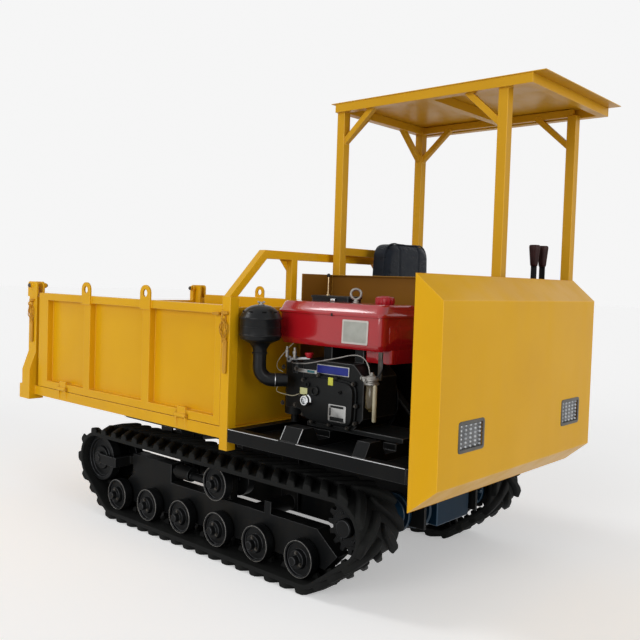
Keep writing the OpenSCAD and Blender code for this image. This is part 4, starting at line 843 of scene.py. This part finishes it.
def makeAirCleaner():
    shape = cleanerShape
    low, high = nodeBox("air_cleaner")
    base = np.array([(low[0] + high[0]) / 2, (low[1] + high[1]) / 2, low[2] + shape["neck"]])
    makePiece("airCleanerCan", [turned(shape["can"], base, zWay, 64)], "blackCan", "chassis", ["air_cleaner"],
              sharp=50.0)
    # Louvres: small raised blocks whose near-black colour is a painted shade for the dark inside of the vent
    # slots
    louvres = []
    for angle in np.arange(shape["louvres"]) * 2 * math.pi / shape["louvres"] + shape["louvreFrom"]:
        out = np.array([math.cos(angle), math.sin(angle), 0.0])
        across = np.array([-math.sin(angle), math.cos(angle), 0.0])
        up = unitRows(shape["louvreTilt"][0] * zWay - shape["louvreTilt"][1] * out)
        seat = base + shape["louvreAt"][0] * out + shape["louvreAt"][1] * zWay
        louvres.append(block(seat, across, up, shape["louvreSize"], 0.004, 0.003, 0.001))
    makePiece("airCleanerLouvres", louvres, "ventSlotShade")
    crown = base + shape["crown"] * zWay
    nut = [turned(shape["nut"], crown, zWay, 20)]
    level, rise = shape["wing"]
    for way in (-1.0, 1.0):
        wing = unitRows(np.array([way * level, way * level, rise]))
        up = unitRows(np.cross(wing, xWay - yWay))
        seat = crown + 0.006 * zWay + 0.010 * wing
        nut.append(block(seat, wing, up, shape["wingSize"], 0.003, 0.004, 0.001))
    makePiece("airCleanerNut", nut, "castSilver")

    # Pipe: down from the can, round a quarter circle and level to the head's face
    turn = math.radians(shape["turn"])
    out = np.array([math.cos(turn), math.sin(turn), 0.0])
    axisLow = base - (shape["neck"] + shape["pipeBelow"]) * zWay
    bend = np.linspace(0, math.pi / 2, 14)[:, None]
    corner = axisLow + shape["elbow"] * (zWay + out)
    arc = corner - shape["elbow"] * (np.cos(bend) * out + np.sin(bend) * zWay)
    reach = (nodeBox("cylinder_head")[0][1] + 0.008 - base[1]) / math.sin(turn)
    path = np.concatenate([[base - (shape["neck"] - 0.006) * zWay], arc, [axisLow + reach * out]])
    side = np.cross(zWay, out)
    pipe = swept(path, circle(shape["pipe"], 28), side)
    makePiece("intakePipe", [pipe], "blackCan", "chassis", ["intake_pipe"], sharp=50.0)
    clamp = torus(axisLow + shape["clampAt"] * out, out, shape["pipe"] + 0.0005, 0.0022, 36, 8)
    makePiece("intakeClamp", [clamp], "brightSteel")
    bands = [torus(base + level * zWay, zWay, *ring) for level, *ring in shape["bands"]]
    makePiece("intakeBands", bands, "blackCan")


# Timing cover: a plate cut to its outline on a wider flange, with bosses, bolts, a socket and bare plates
coverShape = {
    "crank": (0.750, 0.776),
    "depth": 0.030,
    "flangeOut": 0.007,
    "flangeDepth": 0.012,
    "bossHeight": 0.016,
    "outline": [(-0.167, 0.060), (-0.169, -0.040), (-0.135, -0.092), (0.116, -0.092), (0.136, -0.070),
                (0.140, 0.066), (0.116, 0.092), (-0.060, 0.104), (-0.115, 0.096)],
    "corners": [0.03, 0.03, 0.05, 0.03, 0.03, 0.03, 0.04, 0.05, 0.05],
    "bolts": [(-0.172, 0.010), (-0.155, -0.074), (-0.103, -0.100), (0.000, -0.100), (0.104, -0.100),
              (0.144, -0.076), (0.146, 0.000), (0.130, 0.092), (0.030, 0.102), (-0.070, 0.108),
              (-0.160, 0.080)],
    "socket": (-0.113, -0.004),
    "socketCut": [(0, 0), (0.027, 0), (0.027, 0.010), (0.023, 0.014), (0.023, 0.026), (0.0205, 0.028),
                  (0.017, 0.028), (0.0155, 0.025), (0.0155, 0.004), (0, 0.004)],
    "rivetCut": [(0, 0), (0.0035, 0), (0.0028, 0.0015), (0, 0.002)],
    "boltSize": 0.0065,
    "bosses": [(-0.070, 0.042, 0.022), (-0.113, 0.066, 0.012), (0.075, 0.052, 0.008)],
    "namePlate": (0.058, -0.042, 0.099, 0.074),
    "platePanels": [(0.0, 0.028, 0.074, 0.010), (0.0, -0.024, 0.078, 0.016), (-0.038, 0.004, 0.008, 0.034)],
    "plateRivets": (0.043, 0.031),
    "stickers": [("yellowLabel", 0.017, 0.093, 0.028, 0.034), ("paleLabel", -0.140, 0.033, 0.044, 0.030)],
}


def makeTimingCover():
    shape = coverShape
    face = nodeBox("engine_block")[0][1]
    x0, z0 = shape["crank"]
    outline = roundCorners(shape["outline"], shape["corners"], 5, closed=True)
    seat = np.array([x0, face, z0])
    front = seat - shape["depth"] * yWay
    flange = drawnIn(outline, -shape["flangeOut"])
    cover = [plate(flange, seat, xWay, zWay, shape["flangeDepth"], 0.002),
             plate(outline, seat, xWay, zWay, shape["depth"], 0.005)]
    for x, z, radius in shape["bosses"]:
        ring = [(0, 0), (radius, 0), (radius, 0.008), (radius * 0.86, 0.010), (radius * 0.6, 0.010),
                (radius * 0.55, 0.004), (0, 0.004)]
        cover.append(turned(ring, shifted(front, x, z), -yWay, 28))
    tall = shape["bossHeight"]
    for x, z in shape["bolts"]:
        cover.append(turned([(0, 0), (0.012, 0), (0.012, tall - 0.002), (0.010, tall), (0, tall)],
                            shifted(seat, x, z), -yWay, 18))
    makePiece("timingCover", cover, "engineGrey", "chassis", ["timing_cover"], sharp=32.0)
    bolts = [bolt(shifted(seat, x, z) - tall * yWay, -yWay, shape["boltSize"]) for x, z in shape["bolts"]]
    makePiece("timingBolts", bolts, "darkBolt")
    x, z = shape["socket"]
    socket = turned(shape["socketCut"], shifted(front, x, z), -yWay, 40)
    makePiece("startingSocket", [socket], "chrome")

    # Bare name plate: a bright sheet with darker panels and rivets
    x, z, w, h = shape["namePlate"]
    middle = shifted(front, x, z) + 0.001 * yWay
    makePiece("namePlate", [block(middle, xWay, zWay, (w, h), 0.0025, 0.006, 0.0005)], "silverPlate")
    panels = [block(shifted(middle, dx, dz), xWay, zWay, (w, h), 0.003, 0.002, 0.0003)
              for dx, dz, w, h in shape["platePanels"]]
    makePiece("namePlatePanels", panels, "engineGrey")
    dx, dz = shape["plateRivets"]
    rivets = [turned(shape["rivetCut"], shifted(middle, sx * dx, sz * dz) - 0.0025 * yWay, -yWay, 12)
              for sx in (-1, 1) for sz in (-1, 1)]
    makePiece("namePlateRivets", rivets, "brightSteel")
    for finish, x, z, w, h in shape["stickers"]:
        label = block(shifted(front, x, z) + 0.001 * yWay, xWay, zWay, (w, h), 0.0022, 0.002, 0.0004)
        makePiece(finish + "Sticker", [label], finish)


# Engine trim, placed from the machine's origin: bare plates, fuel and drain pipes and head fittings
engineTrim = {
    "plates": [("bluePlateRim", (0.754, 0.0, 0.914), (0.186, 0.042), 0.004, 0.003, 0.0008, "silverPlate"),
               ("bluePlate", (0.754, 0.0, 0.914), (0.178, 0.034), 0.0055, 0.002, 0.0006, "bluePlate"),
               ("levelStrip", (0.604, 0.001, 0.896), (0.118, 0.017), 0.0045, 0.003, 0.0008, "silverPlate"),
               ("levelGlass", (0.626, 0.001, 0.896), (0.044, 0.011), 0.0055, 0.002, 0.0006, "tealGlass")],
    "pipes": [("fuelLine", "castSilver", 0.0025, 8,
               [[(0.531, -0.440, 0.930), (0.562, -0.457, 0.931), (0.611, -0.465, 0.934),
                 (0.662, -0.465, 0.941), (0.800, -0.450, 0.973), (0.885, -0.436, 0.993),
                 (0.940, -0.440, 0.987), (0.975, -0.448, 0.957), (0.988, -0.450, 0.915)]]),
              ("filterFeed", "blackCan", 0.0036, 8,
               [[(1.040, -0.440, 0.990), (1.046, -0.446, 0.955), (1.036, -0.450, 0.925),
                 (1.015, -0.450, 0.912)]]),
              ("thinPipes", "creamTube", 0.0019, 7,
               [[(0.500, -0.402, 1.014), (0.468, -0.425, 0.970), (0.440, -0.440, 0.925),
                 (0.441, -0.440, 0.895), (0.466, -0.430, 0.880)],
                [(0.470, -0.430, 0.850), (0.447, -0.440, 0.815), (0.441, -0.440, 0.789),
                 (0.493, -0.440, 0.781), (0.544, -0.440, 0.780), (0.576, -0.436, 0.792)]])],
    "studs": [(0.505, 0.983), (0.553, 0.981)],
    "studCut": [(0, -0.030), (0.008, -0.030), (0.008, -0.012), (0.010, -0.010), (0.010, 0.002),
                (0.006, 0.005), (0.006, 0.018), (0, 0.020)],
    "headBolts": [(0.478, 0.740), (0.478, 0.905), (0.556, 0.740), (0.556, 0.905)],
}


def makeEngineTrim():
    trim = engineTrim
    face = nodeBox("engine_block")[0][1]
    headFace = nodeBox("cylinder_head")[0][1] + 0.008
    for name, place, size, depth, corner, ease, finish in trim["plates"]:
        makePiece(name, [block(face * yWay + place, xWay, zWay, size, depth, corner, ease)], finish)
    for name, finish, bar, count, ways in trim["pipes"]:
        makePiece(name, [roundBar(smoothLine(way, 6), bar, count) for way in ways], finish)
    studs = [turned(trim["studCut"], (x, headFace - 0.010, z), zWay, 18) for x, z in trim["studs"]]
    makePiece("headStuds", studs, "castSilver")
    headBolts = [bolt((x, headFace, z), -yWay, 0.008) for x, z in trim["headBolts"]]
    makePiece("headBolts", headBolts, "darkBolt")


# Fuel filter on its strap: a cast head with cooling rings, an amber bowl and a cream drain tube
filterShape = {"head": 0.032, "headHeight": 0.040, "bowl": 0.024, "tube": 0.009, "tubeAt": (0.026, -0.010),
               "drop": 0.150, "port": (-0.044, -0.004, 0.024), "portBar": 0.009, "topBolt": 0.008}


def makeFuelFilter():
    shape = filterShape
    low, high = nodeBox("fuel_filter")
    r, h = shape["head"], shape["headHeight"]
    centre = low + (r, r, shape["drop"])
    seat = centre[2]
    head = [(0, 0), (r - 0.004, 0), (r, 0.003), (r, 0.010), (r - 0.005, 0.013), (r - 0.005, 0.017),
            (r, 0.020), (r, 0.026), (r - 0.006, 0.030), (r - 0.010, h - 0.004), (0.012, h),
            (0.010, h + 0.006), (0, h + 0.006)]
    port = np.array(shape["port"])
    ports = [roundBar([centre + port, centre + (0, 1, 1) * port], shape["portBar"], 12),
             bolt(centre + port, -xWay, shape["portBar"]),
             bolt(centre + (0, 0, h + 0.004), zWay, shape["topBolt"]),
             bolt(centre + (-0.012, -r + 0.002, 0.022), -yWay, shape["topBolt"])]
    strap = [block(centre + (0, 0.039, 0.021), xWay, zWay, (0.020, 0.012), 0.022, 0.002, 0.001),
             block((centre[0], high[1], (seat + 0.015 + high[2]) / 2), xWay, zWay,
                   (0.020, high[2] - seat - 0.015), 0.008, 0.002, 0.001)]
    makePiece("filterHead", [turned(head, centre, zWay, 40)] + ports, "castSilver", "chassis",
              ["fuel_filter"])
    makePiece("filterStrap", strap, "darkBolt")
    b = shape["bowl"]
    bowl = [(0, -0.110), (0.010, -0.110), (0.012, -0.104), (b - 0.004, -0.100), (b, -0.094), (b, -0.030),
            (b - 0.001, -0.027), (b - 0.001, -0.006), (b + 0.002, -0.004), (b + 0.002, 0.002), (0, 0.002)]
    makePiece("filterBowl", [turned(bowl, centre, zWay, 36)], "amberBowl")
    x, y = centre[:2] + np.array(shape["tubeAt"])
    t = shape["tube"]
    tube = [(0, -0.150), (t - 0.002, -0.150), (t, -0.147), (t, -0.004), (t - 0.002, 0.003), (0, 0.003)]
    makePiece("filterTube", [turned(tube, (x, y, seat), zWay, 24)], "creamTube")


# Throttle lever: a flat arm on its pin, with a flared red knob
throttleShape = {"boss": 0.015, "bore": 0.0062, "halfBoss": 0.004, "knobAt": (0.120, 0.014),
                 "arm": (0.126, 0.011), "armAt": 0.060,
                 "cup": [(0, 0), (0.010, 0), (0.013, 0.003), (0.017, 0.014), (0.0195, 0.020), (0.0185, 0.024),
                         (0.012, 0.025), (0, 0.024)]}


def makeThrottle():
    low, high = nodeBox("throttle_lever")
    boss, bore, half = throttleShape["boss"], throttleShape["bore"], throttleShape["halfBoss"]
    pin = np.array([low[0] + boss, (low[1] + high[1]) / 2, low[2] + boss])
    knob = shifted(pin, *throttleShape["knobAt"])
    along = unitRows(knob - pin)
    across = np.cross(along, yWay)
    seat = pin + throttleShape["armAt"] * along + 0.002 * yWay
    arm = [block(seat, along, -across, throttleShape["arm"], 0.004, 0.005, 0.001),
           turned([(bore, -half), (boss, -half), (boss, half), (bore, half), (bore, -half)], pin, -yWay, 28)]
    makePiece("throttleArm", arm, "brightSteel", "throttle_lever", ["throttle_lever"])
    makePiece("throttleKnob", [turned(throttleShape["cup"], knob, zWay, 28)], "capRed", "throttle_lever")


# Work lamps: a rounded rim, a lens set back in it and rows of small reflector cups
lampShape = {"span": 0.872, "size": (0.180, 0.112), "rim": 0.006, "columns": 5, "rows": 6, "cup": 0.0072,
             "cupMargin": (0.022, 0.016), "lensBack": 0.012, "cupBack": 0.0052}


def makeLamps():
    shape = lampShape
    low, high = nodeBox("work_lamps")
    w, h = shape["size"]
    rims, lenses, cups = [], [], []
    for sign in (-1.0, 1.0):
        seat = np.array([high[0] - 0.004, sign * shape["span"] / 2, (low[2] + high[2]) / 2])
        ring = rectangleRing(w - shape["rim"], h - shape["rim"], 0.009, 5)
        path = seat + ring[:, :1] * yWay + ring[:, 1:] * zWay
        rims.append(swept(path, rectangleRing(0.014, shape["rim"], 0.003, 3), xWay, closed=True))
        lenses.append(block(seat - shape["lensBack"] * xWay, yWay, zWay, (w - 0.012, h - 0.012), 0.007, 0.004,
                            0.001))
        y, z = np.meshgrid(np.linspace(-1, 1, shape["columns"]) * (w / 2 - shape["cupMargin"][0]),
                           np.linspace(-1, 1, shape["rows"]) * (h / 2 - shape["cupMargin"][1]))
        r = shape["cup"]
        dome = [(r, 0), (0.8 * r, 0.45 * r), (0.4 * r, 0.7 * r), (0, 0.78 * r)]
        middle = seat - shape["cupBack"] * xWay
        cups += [turned(dome, middle + a * yWay + b * zWay, xWay, 10) for a, b in zip(y.flat, z.flat)]
    makePiece("lampRims", rims, "lampFrame", "chassis", ["work_lamps"])
    makePiece("lampLenses", lenses, "lampLens")
    makePiece("lampCups", cups, "lampCup")


# Chain: oval links set along a line, each turned a quarter from the last
linkShape = {"long": 0.62, "wide": 0.30}


def chain(path, pitch, wire):
    path = smoothLine(path, 12)
    steps = np.concatenate([[0], np.cumsum(np.linalg.norm(np.diff(path, axis=0), axis=1))])
    count = max(int(steps[-1] / pitch), 2)
    places = (np.arange(count) + 0.5) * steps[-1] / count
    seats = np.stack([np.interp(places, steps, path[:, k]) for k in range(3)], -1)
    ahead = unitRows(np.gradient(seats, axis=0))
    t = turnSteps(10)[:, None]
    long, wide = [pitch * linkShape[way] for way in ("long", "wide")]
    links = []
    for k in range(count):
        first, second = squareTo(ahead[k])
        across = first if k % 2 else second
        loop = seats[k] + long * np.cos(t) * ahead[k] + wide * np.sin(t) * across
        links.append(swept(loop, circle(wire, 6), np.cross(ahead[k], across), True))
    return links


# Gate latches on each corner post: an eye, two strands of chain and a flat pin; keepers ride on the gates
latchShape = {
    "front": {"x": 0.312, "eye": 1.124, "fork": 1.024, "foot": 0.872, "spread": 0.020},
    "rear": {"x": -1.420, "eye": 1.112, "fork": 1.010, "foot": 0.884, "spread": 0.016},
    "pitch": 0.021,
    "wire": 0.0033,
    "bow": 0.004,
    "eyeOut": 0.014,
    "eyeRing": (0.013, 0.004),
    "eyePlate": (0.040, 0.014),
    "plateUp": 0.022,
    "forkOut": 0.010,
    "forkRing": (0.011, 0.0034),
    "bar": (0.024, 0.008),
    "barAt": (0.004, 0.003),
    "keeperSize": (0.042, 0.012),
    "keeperOut": 0.020,
    "tailHead": 0.010,
    "hingeHead": 0.006,
    "face": 0.650,
    "keeper": (0.258, 1.140),
    "tailPin": (-1.442, 1.221),
    "tailHeads": [(0.658, 1.0), (0.557, -1.0)],
    "hingeXs": (-1.064, 0.011),
    "hinge": (0.656, 0.640),
    "hingeReach": 0.0435,
}


def makeLatches():
    shape = latchShape
    for side, sign in sides:
        tag = side.capitalize()
        face = sign * shape["face"]
        out = np.array([0.0, sign, 0.0])
        across = xWay if sign < 0 else -xWay
        for end in ("front", "rear"):
            spot = shape[end]
            eye = np.array([spot["x"], face + sign * shape["eyeOut"], spot["eye"]])
            fork = np.array([spot["x"], face + sign * shape["forkOut"], spot["fork"]])
            strands = []
            for way in (-1.0, 1.0):
                middle = (eye + fork) / 2 + way * spot["spread"] * xWay + shape["bow"] * out
                strands += chain([eye - 0.006 * zWay, middle, fork], shape["pitch"], shape["wire"])
            makePiece(f"latchChain{end.capitalize()}{tag}", strands, "latchYellow", "bed", sharp=60.0)
            seat = eye + shape["plateUp"] * zWay - shape["eyeOut"] * out
            eyeBar = [torus(eye, xWay, *shape["eyeRing"], 20, 8),
                      block(seat, across, zWay, shape["eyePlate"], shape["eyeOut"], 0.003, 0.001)]
            along, off = shape["barAt"]
            bar = np.array([spot["x"] + along, face + sign * off, (spot["fork"] + spot["foot"]) / 2])
            length = spot["fork"] - spot["foot"]
            eyeBar += [block(bar, across, zWay, (shape["bar"][0], length), shape["bar"][1], 0.010, 0.002),
                       torus(fork - 0.004 * zWay, out, *shape["forkRing"], 20, 8)]
            makePiece(f"latchPin{end.capitalize()}{tag}", eyeBar, "latchYellow", "bed")
        x, z = shape["keeper"]
        keeper = np.array([x, face - sign * 0.002, z])
        plug = block(keeper, across, zWay, shape["keeperSize"], shape["keeperOut"], 0.003, 0.001)
        makePiece(f"gateKeeper{tag}", [plug], "latchYellow", f"side_gate_{side}")
        x, z = shape["tailPin"]
        heads = [bolt((x, sign * y, z), way * out, shape["tailHead"]) for y, way in shape["tailHeads"]]
        makePiece(f"tailPinHeads{tag}", heads, "darkBolt", "bed")
        y, z = shape["hinge"]
        hinges = [bolt((x + way * shape["hingeReach"], sign * y, z), way * xWay, shape["hingeHead"])
                  for x in shape["hingeXs"] for way in (-1.0, 1.0)]
        makePiece(f"hingePinHeads{tag}", hinges, "latchYellow", "bed")


# Control levers: a flat black bar on its boss, with a flared moulded grip
leverShape = {
    "pivot": 0.020,
    "bar": (0.028, 0.010),
    "intoGrip": 0.02,
    "boss": [(0.0085, -0.013), (0.018, -0.013), (0.020, -0.011), (0.020, 0.011), (0.018, 0.013),
             (0.0085, 0.013), (0.0085, -0.013)],
    "gripLength": 0.104,
    "gripWidths": (0.036, 0.058),
    "gripDepths": (0.036, 0.056),
    "gripShares": [0.0, 0.03, 0.10, 0.4, 0.75, 0.90, 0.97, 1.0],
    "gripSwell": [0.80, 0.95, 1.0, 1.0, 1.0, 1.0, 0.93, 0.75],
    "flutes": 6,
    "fluteDepth": 0.035,
}


def makeLevers():
    shape = leverShape
    for node in ("lever_right", "lever_left"):
        low, high = nodeBox(node)
        x, y = (low[0] + high[0]) / 2, (low[1] + high[1]) / 2
        pivot = low[2] + shape["pivot"]
        gripFoot = high[2] - shape["gripLength"]
        top = gripFoot + shape["intoGrip"]
        wide, thick = shape["bar"]
        bar = [block((x, y + thick / 2, (pivot + top) / 2), xWay, zWay, (wide, top - pivot), thick, 0.008,
                     0.0015),
               turned(shape["boss"], (x, y, pivot), -yWay, 32)]
        makePiece(camelName(node) + "Bar", bar, "blackPaint", node, [node])
        share, swell = np.array(shape["gripShares"]), np.array(shape["gripSwell"])
        widths = np.interp(share, (0, 1), shape["gripWidths"]) * swell
        depths = np.interp(share, (0, 1), shape["gripDepths"]) * swell
        angle = turnSteps(36)
        flutes = 1 + shape["fluteDepth"] * np.cos(shape["flutes"] * angle)
        rings = np.stack([x + depths[:, None] / 2 * np.cos(angle) * flutes,
                          y + widths[:, None] / 2 * np.sin(angle) * flutes,
                          np.broadcast_to((gripFoot + share * shape["gripLength"])[:, None],
                                          (len(share), len(angle)))], -1)
        makePiece(camelName(node) + "Grip", [cappedRings(rings)], "gripRed", node, sharp=50.0)


# Seat pads: an outline lofted from a flat base to a crowned face, swelled as cloth and sewn along channels
seatShape = {
    "shrink": 0.004,
    "voxel": 0.006,
    "pressure": 4.0,
    "frames": 20,
    "cap": 0.009,
    "channelAt": 0.085,
    "channelWide": 0.007,
    "channelDeep": 0.0035,
    "channelFacing": (0.3, 0.5),
    "fade": 0.25,
    "piping": 0.004,
    "pipingReach": 0.007,
    "pipingLevel": 0.84,
    "cushionCorner": 0.075,
    "backWidths": (0.92, 0.82),
    "backCorners": [0.06, 0.06, 0.07, 0.07],
    "backShift": 0.020,
    "levels": [(0.960, 0.0), (0.990, 0.06), (1.0, 0.20), (1.0, 0.70), (0.990, 0.82), (0.965, 0.91),
               (0.915, 0.965), (0.70, 0.99), (0.35, 1.0)],
}


def meshPoints(mesh, field="co"):
    values = np.empty(3 * len(mesh.vertices))
    mesh.vertices.foreach_get(field, values)
    return values.reshape(-1, 3)


def evaluatedCopy(piece):
    return bpy.data.meshes.new_from_object(piece.evaluated_get(bpy.context.evaluated_depsgraph_get()))


# Even skin: the pad's loft remade of small squares, as the cloth needs
def evenSkin(piece):
    remesh = piece.modifiers.new("skin", "REMESH")
    remesh.mode = "VOXEL"
    remesh.voxel_size = seatShape["voxel"]
    skin = evaluatedCopy(piece)
    piece.modifiers.clear()
    piece.data = skin


# Cloth swelling: the skin is blown up without gravity, and each point keeps its outward move, up to the cap
def swellAsCloth(piece, base, out, depth):
    scene, skin = bpy.context.scene, piece.data
    rest = meshPoints(skin)
    cloth = piece.modifiers.new("swelling", "CLOTH")
    cloth.settings.use_pressure = True
    cloth.settings.uniform_pressure_force = seatShape["pressure"]
    cloth.settings.effector_weights.gravity = 0.0
    cloth.point_cache.frame_start = 1
    cloth.point_cache.frame_end = seatShape["frames"]
    for step in range(1, seatShape["frames"] + 1):
        scene.frame_set(step)
    outward = meshPoints(skin, "normal")
    swell = ((meshPoints(evaluatedCopy(piece)) - rest) * outward).sum(1, keepdims=True)
    piece.modifiers.clear()
    scene.frame_set(1)
    height = ((rest - base) @ out)[:, None] / depth
    swell = np.clip(swell, 0.0, seatShape["cap"]) * np.clip(height / seatShape["fade"], 0.0, 1.0)
    skin.vertices.foreach_set("co", (rest + swell * outward).ravel())
    skin.update()


# Sewn channels: points near each line are drawn in along a bell curve, only where the skin faces outwards
def sewChannels(mesh, middle, across, out):
    points, facing = meshPoints(mesh), meshPoints(mesh, "normal") @ out
    reach = (points - middle) @ across
    draw = sum(np.exp(-((reach - way * seatShape["channelAt"]) / seatShape["channelWide"]) ** 2)
               for way in (-1, 1))
    start, span = seatShape["channelFacing"]
    draw *= seatShape["channelDeep"] * np.clip((facing - start) / span, 0, 1)
    mesh.vertices.foreach_set("co", (points - draw[:, None] * out).ravel())
    mesh.update()


# Piping: a cord round the pad's widest line, at the greatest reach of the skin in each direction
def makePiping(name, mesh, middle, across, up, level):
    out = np.cross(across, up)
    offset = meshPoints(mesh) - middle
    near = np.abs(offset @ out - level) < seatShape["pipingReach"]
    a, b = (offset @ across)[near], (offset @ up)[near]
    bins = 72
    slot = (np.arctan2(b, a) / (2 * math.pi) * bins).round().astype(int) % bins
    reach = np.zeros(bins)
    np.maximum.at(reach, slot, np.hypot(a, b))
    known = reach > 0
    angle = np.arange(bins) * 2 * math.pi / bins
    reach = np.interp(angle, angle[known], reach[known], period=2 * math.pi)
    path = (middle - origin + level * out + (reach * np.cos(angle))[:, None] * across
            + (reach * np.sin(angle))[:, None] * up)
    makePiece(name, [roundBar(path, seatShape["piping"], 8, True)], "seatVinyl", sharp=60.0)


def makePad(node, outline, place, across, up, depth):
    out = np.cross(across, up)
    rings = [place + scale * (outline[:, :1] * across + outline[:, 1:] * up) + share * depth * out
             for scale, share in seatShape["levels"]]
    name = camelName(node)
    pad = makePiece(name, [cappedRings(np.stack(rings))], "seatVinyl", "chassis", [node], sharp=80.0)
    base = place + origin
    evenSkin(pad)
    swellAsCloth(pad, base, out, depth)
    sewChannels(pad.data, base, yWay, out)
    pad.data.polygons.foreach_set("use_smooth", np.ones(len(pad.data.polygons), bool))
    makePiping(name + "Piping", pad.data, base, across, up, seatShape["pipingLevel"] * depth)
    smooth = pad.modifiers.new("smoothSkin", "SUBSURF")
    smooth.levels = smooth.render_levels = 1


def makeSeat():
    shrink = seatShape["shrink"]
    low, high = nodeBox("seat_cushion")
    size = high[:2] - low[:2] - 2 * shrink
    outline = rectangleRing(size[0], size[1], seatShape["cushionCorner"], 8)
    makePad("seat_cushion", outline, np.array([*(low[:2] + high[:2]) / 2, low[2]]), xWay, yWay,
            high[2] - low[2] - shrink)
    low, high = nodeBox("seat_back")
    tall = high[2] - low[2] - 2 * shrink
    width = 0.5 * (high[1] - low[1]) - shrink
    foot, head = [share * width for share in seatShape["backWidths"]]
    corners = [(-foot, -tall / 2), (foot, -tall / 2), (head, tall / 2), (-head, tall / 2)]
    outline = roundCorners(corners, seatShape["backCorners"], 8, closed=True)
    place = np.array([low[0], (low[1] + high[1]) / 2 + seatShape["backShift"], (low[2] + high[2]) / 2])
    makePad("seat_back", outline, place, yWay, zWay, high[0] - low[0] - shrink)


# Deck glint: thin bright bars along the rail's outer edge and the first ramp's edges, a painted highlight
deckWear = {"edgeY": -0.650, "edgeZ": 0.622, "spans": [(0.345, 0.661), (0.765, 1.318)], "bar": 0.0015,
            "rampXs": (0.663, 0.763), "ramp": [(-0.638, 0.6235), (-0.606, 0.679)]}


def makeDeckGlint():
    wearAndGlint = deckWear
    paths = [[(x, wearAndGlint["edgeY"] + 0.001, wearAndGlint["edgeZ"] - 0.001) for x in span] for span in wearAndGlint["spans"]]
    paths += [[(x, y, z) for y, z in wearAndGlint["ramp"]] for x in wearAndGlint["rampXs"]]
    makePiece("deckWear", [roundBar(path, wearAndGlint["bar"], 8) for path in paths], "paintedGlint")


makeTank()
makeTankTop()
makeDeckGlint()
print("tank made")
makeAirCleaner()
makeTimingCover()
makeEngineTrim()
makeFuelFilter()
makeThrottle()
print("engine pieces made")
makeLamps()
makeLatches()
makeLevers()
print("lamps, latches and levers made")
makeSeat()
print("seat made")


# Plain floor, soft light and the camera of the photograph
studio = {
    "floorTone": 0.95,
    "floorReach": 60.0,
    "floorGlow": 0.33,
    "backTone": 0.92,
    "skyLevel": 0.34,
    "suns": {"frontSun": (1.15, (0.98, -0.05, 0.15), 36.0), "sideSun": (1.24, (0.06, -0.96, 0.26), 36.0),
             "backSun": (0.45, (-0.63, -0.34, 0.68), 13.0)},
}


def seenDirectly(tree):
    path = addNode(tree, "LightPath")
    seen = addNode(tree, "Math", {0: path.outputs["Is Camera Ray"], 1: path.outputs["Is Glossy Ray"]},
                   operation="MAXIMUM")
    return addNode(tree, "Math", {0: seen.outputs[0], 1: path.outputs["Is Transmission Ray"]},
                   operation="MAXIMUM").outputs[0]


def makeStudio():
    mesh = bpy.data.meshes.new("floor")
    reach = studio["floorReach"]
    mesh.from_pydata([(-reach, -reach, 0), (reach, -reach, 0), (reach, reach, 0), (-reach, reach, 0)], [],
                     [(0, 1, 2, 3)])
    floor = addObject("floor", mesh)
    material, tree, shader, place = startFinish("paleFloor", (studio["floorTone"],) * 3, 0.9, specular=0.0)
    shader.inputs["Emission Color"].default_value = (1, 1, 1, 1)
    feed(tree, shader, "Emission Strength",
         remap(tree, seenDirectly(tree), 0.0, 1.0, 0.0, studio["floorGlow"]))
    mesh.materials.append(material)
    world = bpy.data.worlds.new("studio")
    bpy.context.scene.world = world
    world.use_nodes = True
    tree = world.node_tree
    background = tree.nodes["Background"]
    background.inputs["Color"].default_value = (1, 1, 1, 1)
    level = remap(tree, seenDirectly(tree), 0.0, 1.0, studio["skyLevel"], studio["backTone"])
    feed(tree, background, "Strength", level)
    for name, (level, place, spread) in studio["suns"].items():
        sun = bpy.data.lights.new(name, "SUN")
        sun.energy = level
        sun.angle = math.radians(spread)
        lamp = addObject(name, sun)
        ahead = unitRows(np.array(place))
        lamp.matrix_world = Matrix(np.stack([*squareTo(ahead), ahead], 1).tolist()).to_4x4()


cameraSet = {"place": (2.949, -3.050, 1.303), "azimuth": 41.461, "pitch": -2.346, "roll": 1.855,
             "lens": 43.71, "sensor": 36.0, "shift": (-0.00193, -0.01125)}


def makeCamera():
    azimuth, pitch, roll = [math.radians(cameraSet[k]) for k in ("azimuth", "pitch", "roll")]
    ahead = np.array([-math.sin(azimuth) * math.cos(pitch), math.cos(azimuth) * math.cos(pitch),
                      math.sin(pitch)])
    level = np.array([math.cos(azimuth), math.sin(azimuth), 0.0])
    upright = np.cross(level, ahead)
    right = math.cos(roll) * level + math.sin(roll) * upright
    up = -math.sin(roll) * level + math.cos(roll) * upright
    data = bpy.data.cameras.new("photoCamera")
    data.lens = cameraSet["lens"]
    data.sensor_width = cameraSet["sensor"]
    data.shift_x, data.shift_y = cameraSet["shift"]
    camera = addObject("photoCamera", data)
    turn = Matrix(np.stack([right, up, -ahead], 1).tolist()).to_4x4()
    turn.translation = cameraSet["place"]
    camera.matrix_world = turn
    bpy.context.scene.camera = camera


makeStudio()
makeCamera()
bpy.context.scene.view_settings.view_transform = "Standard"
print("studio and camera set")
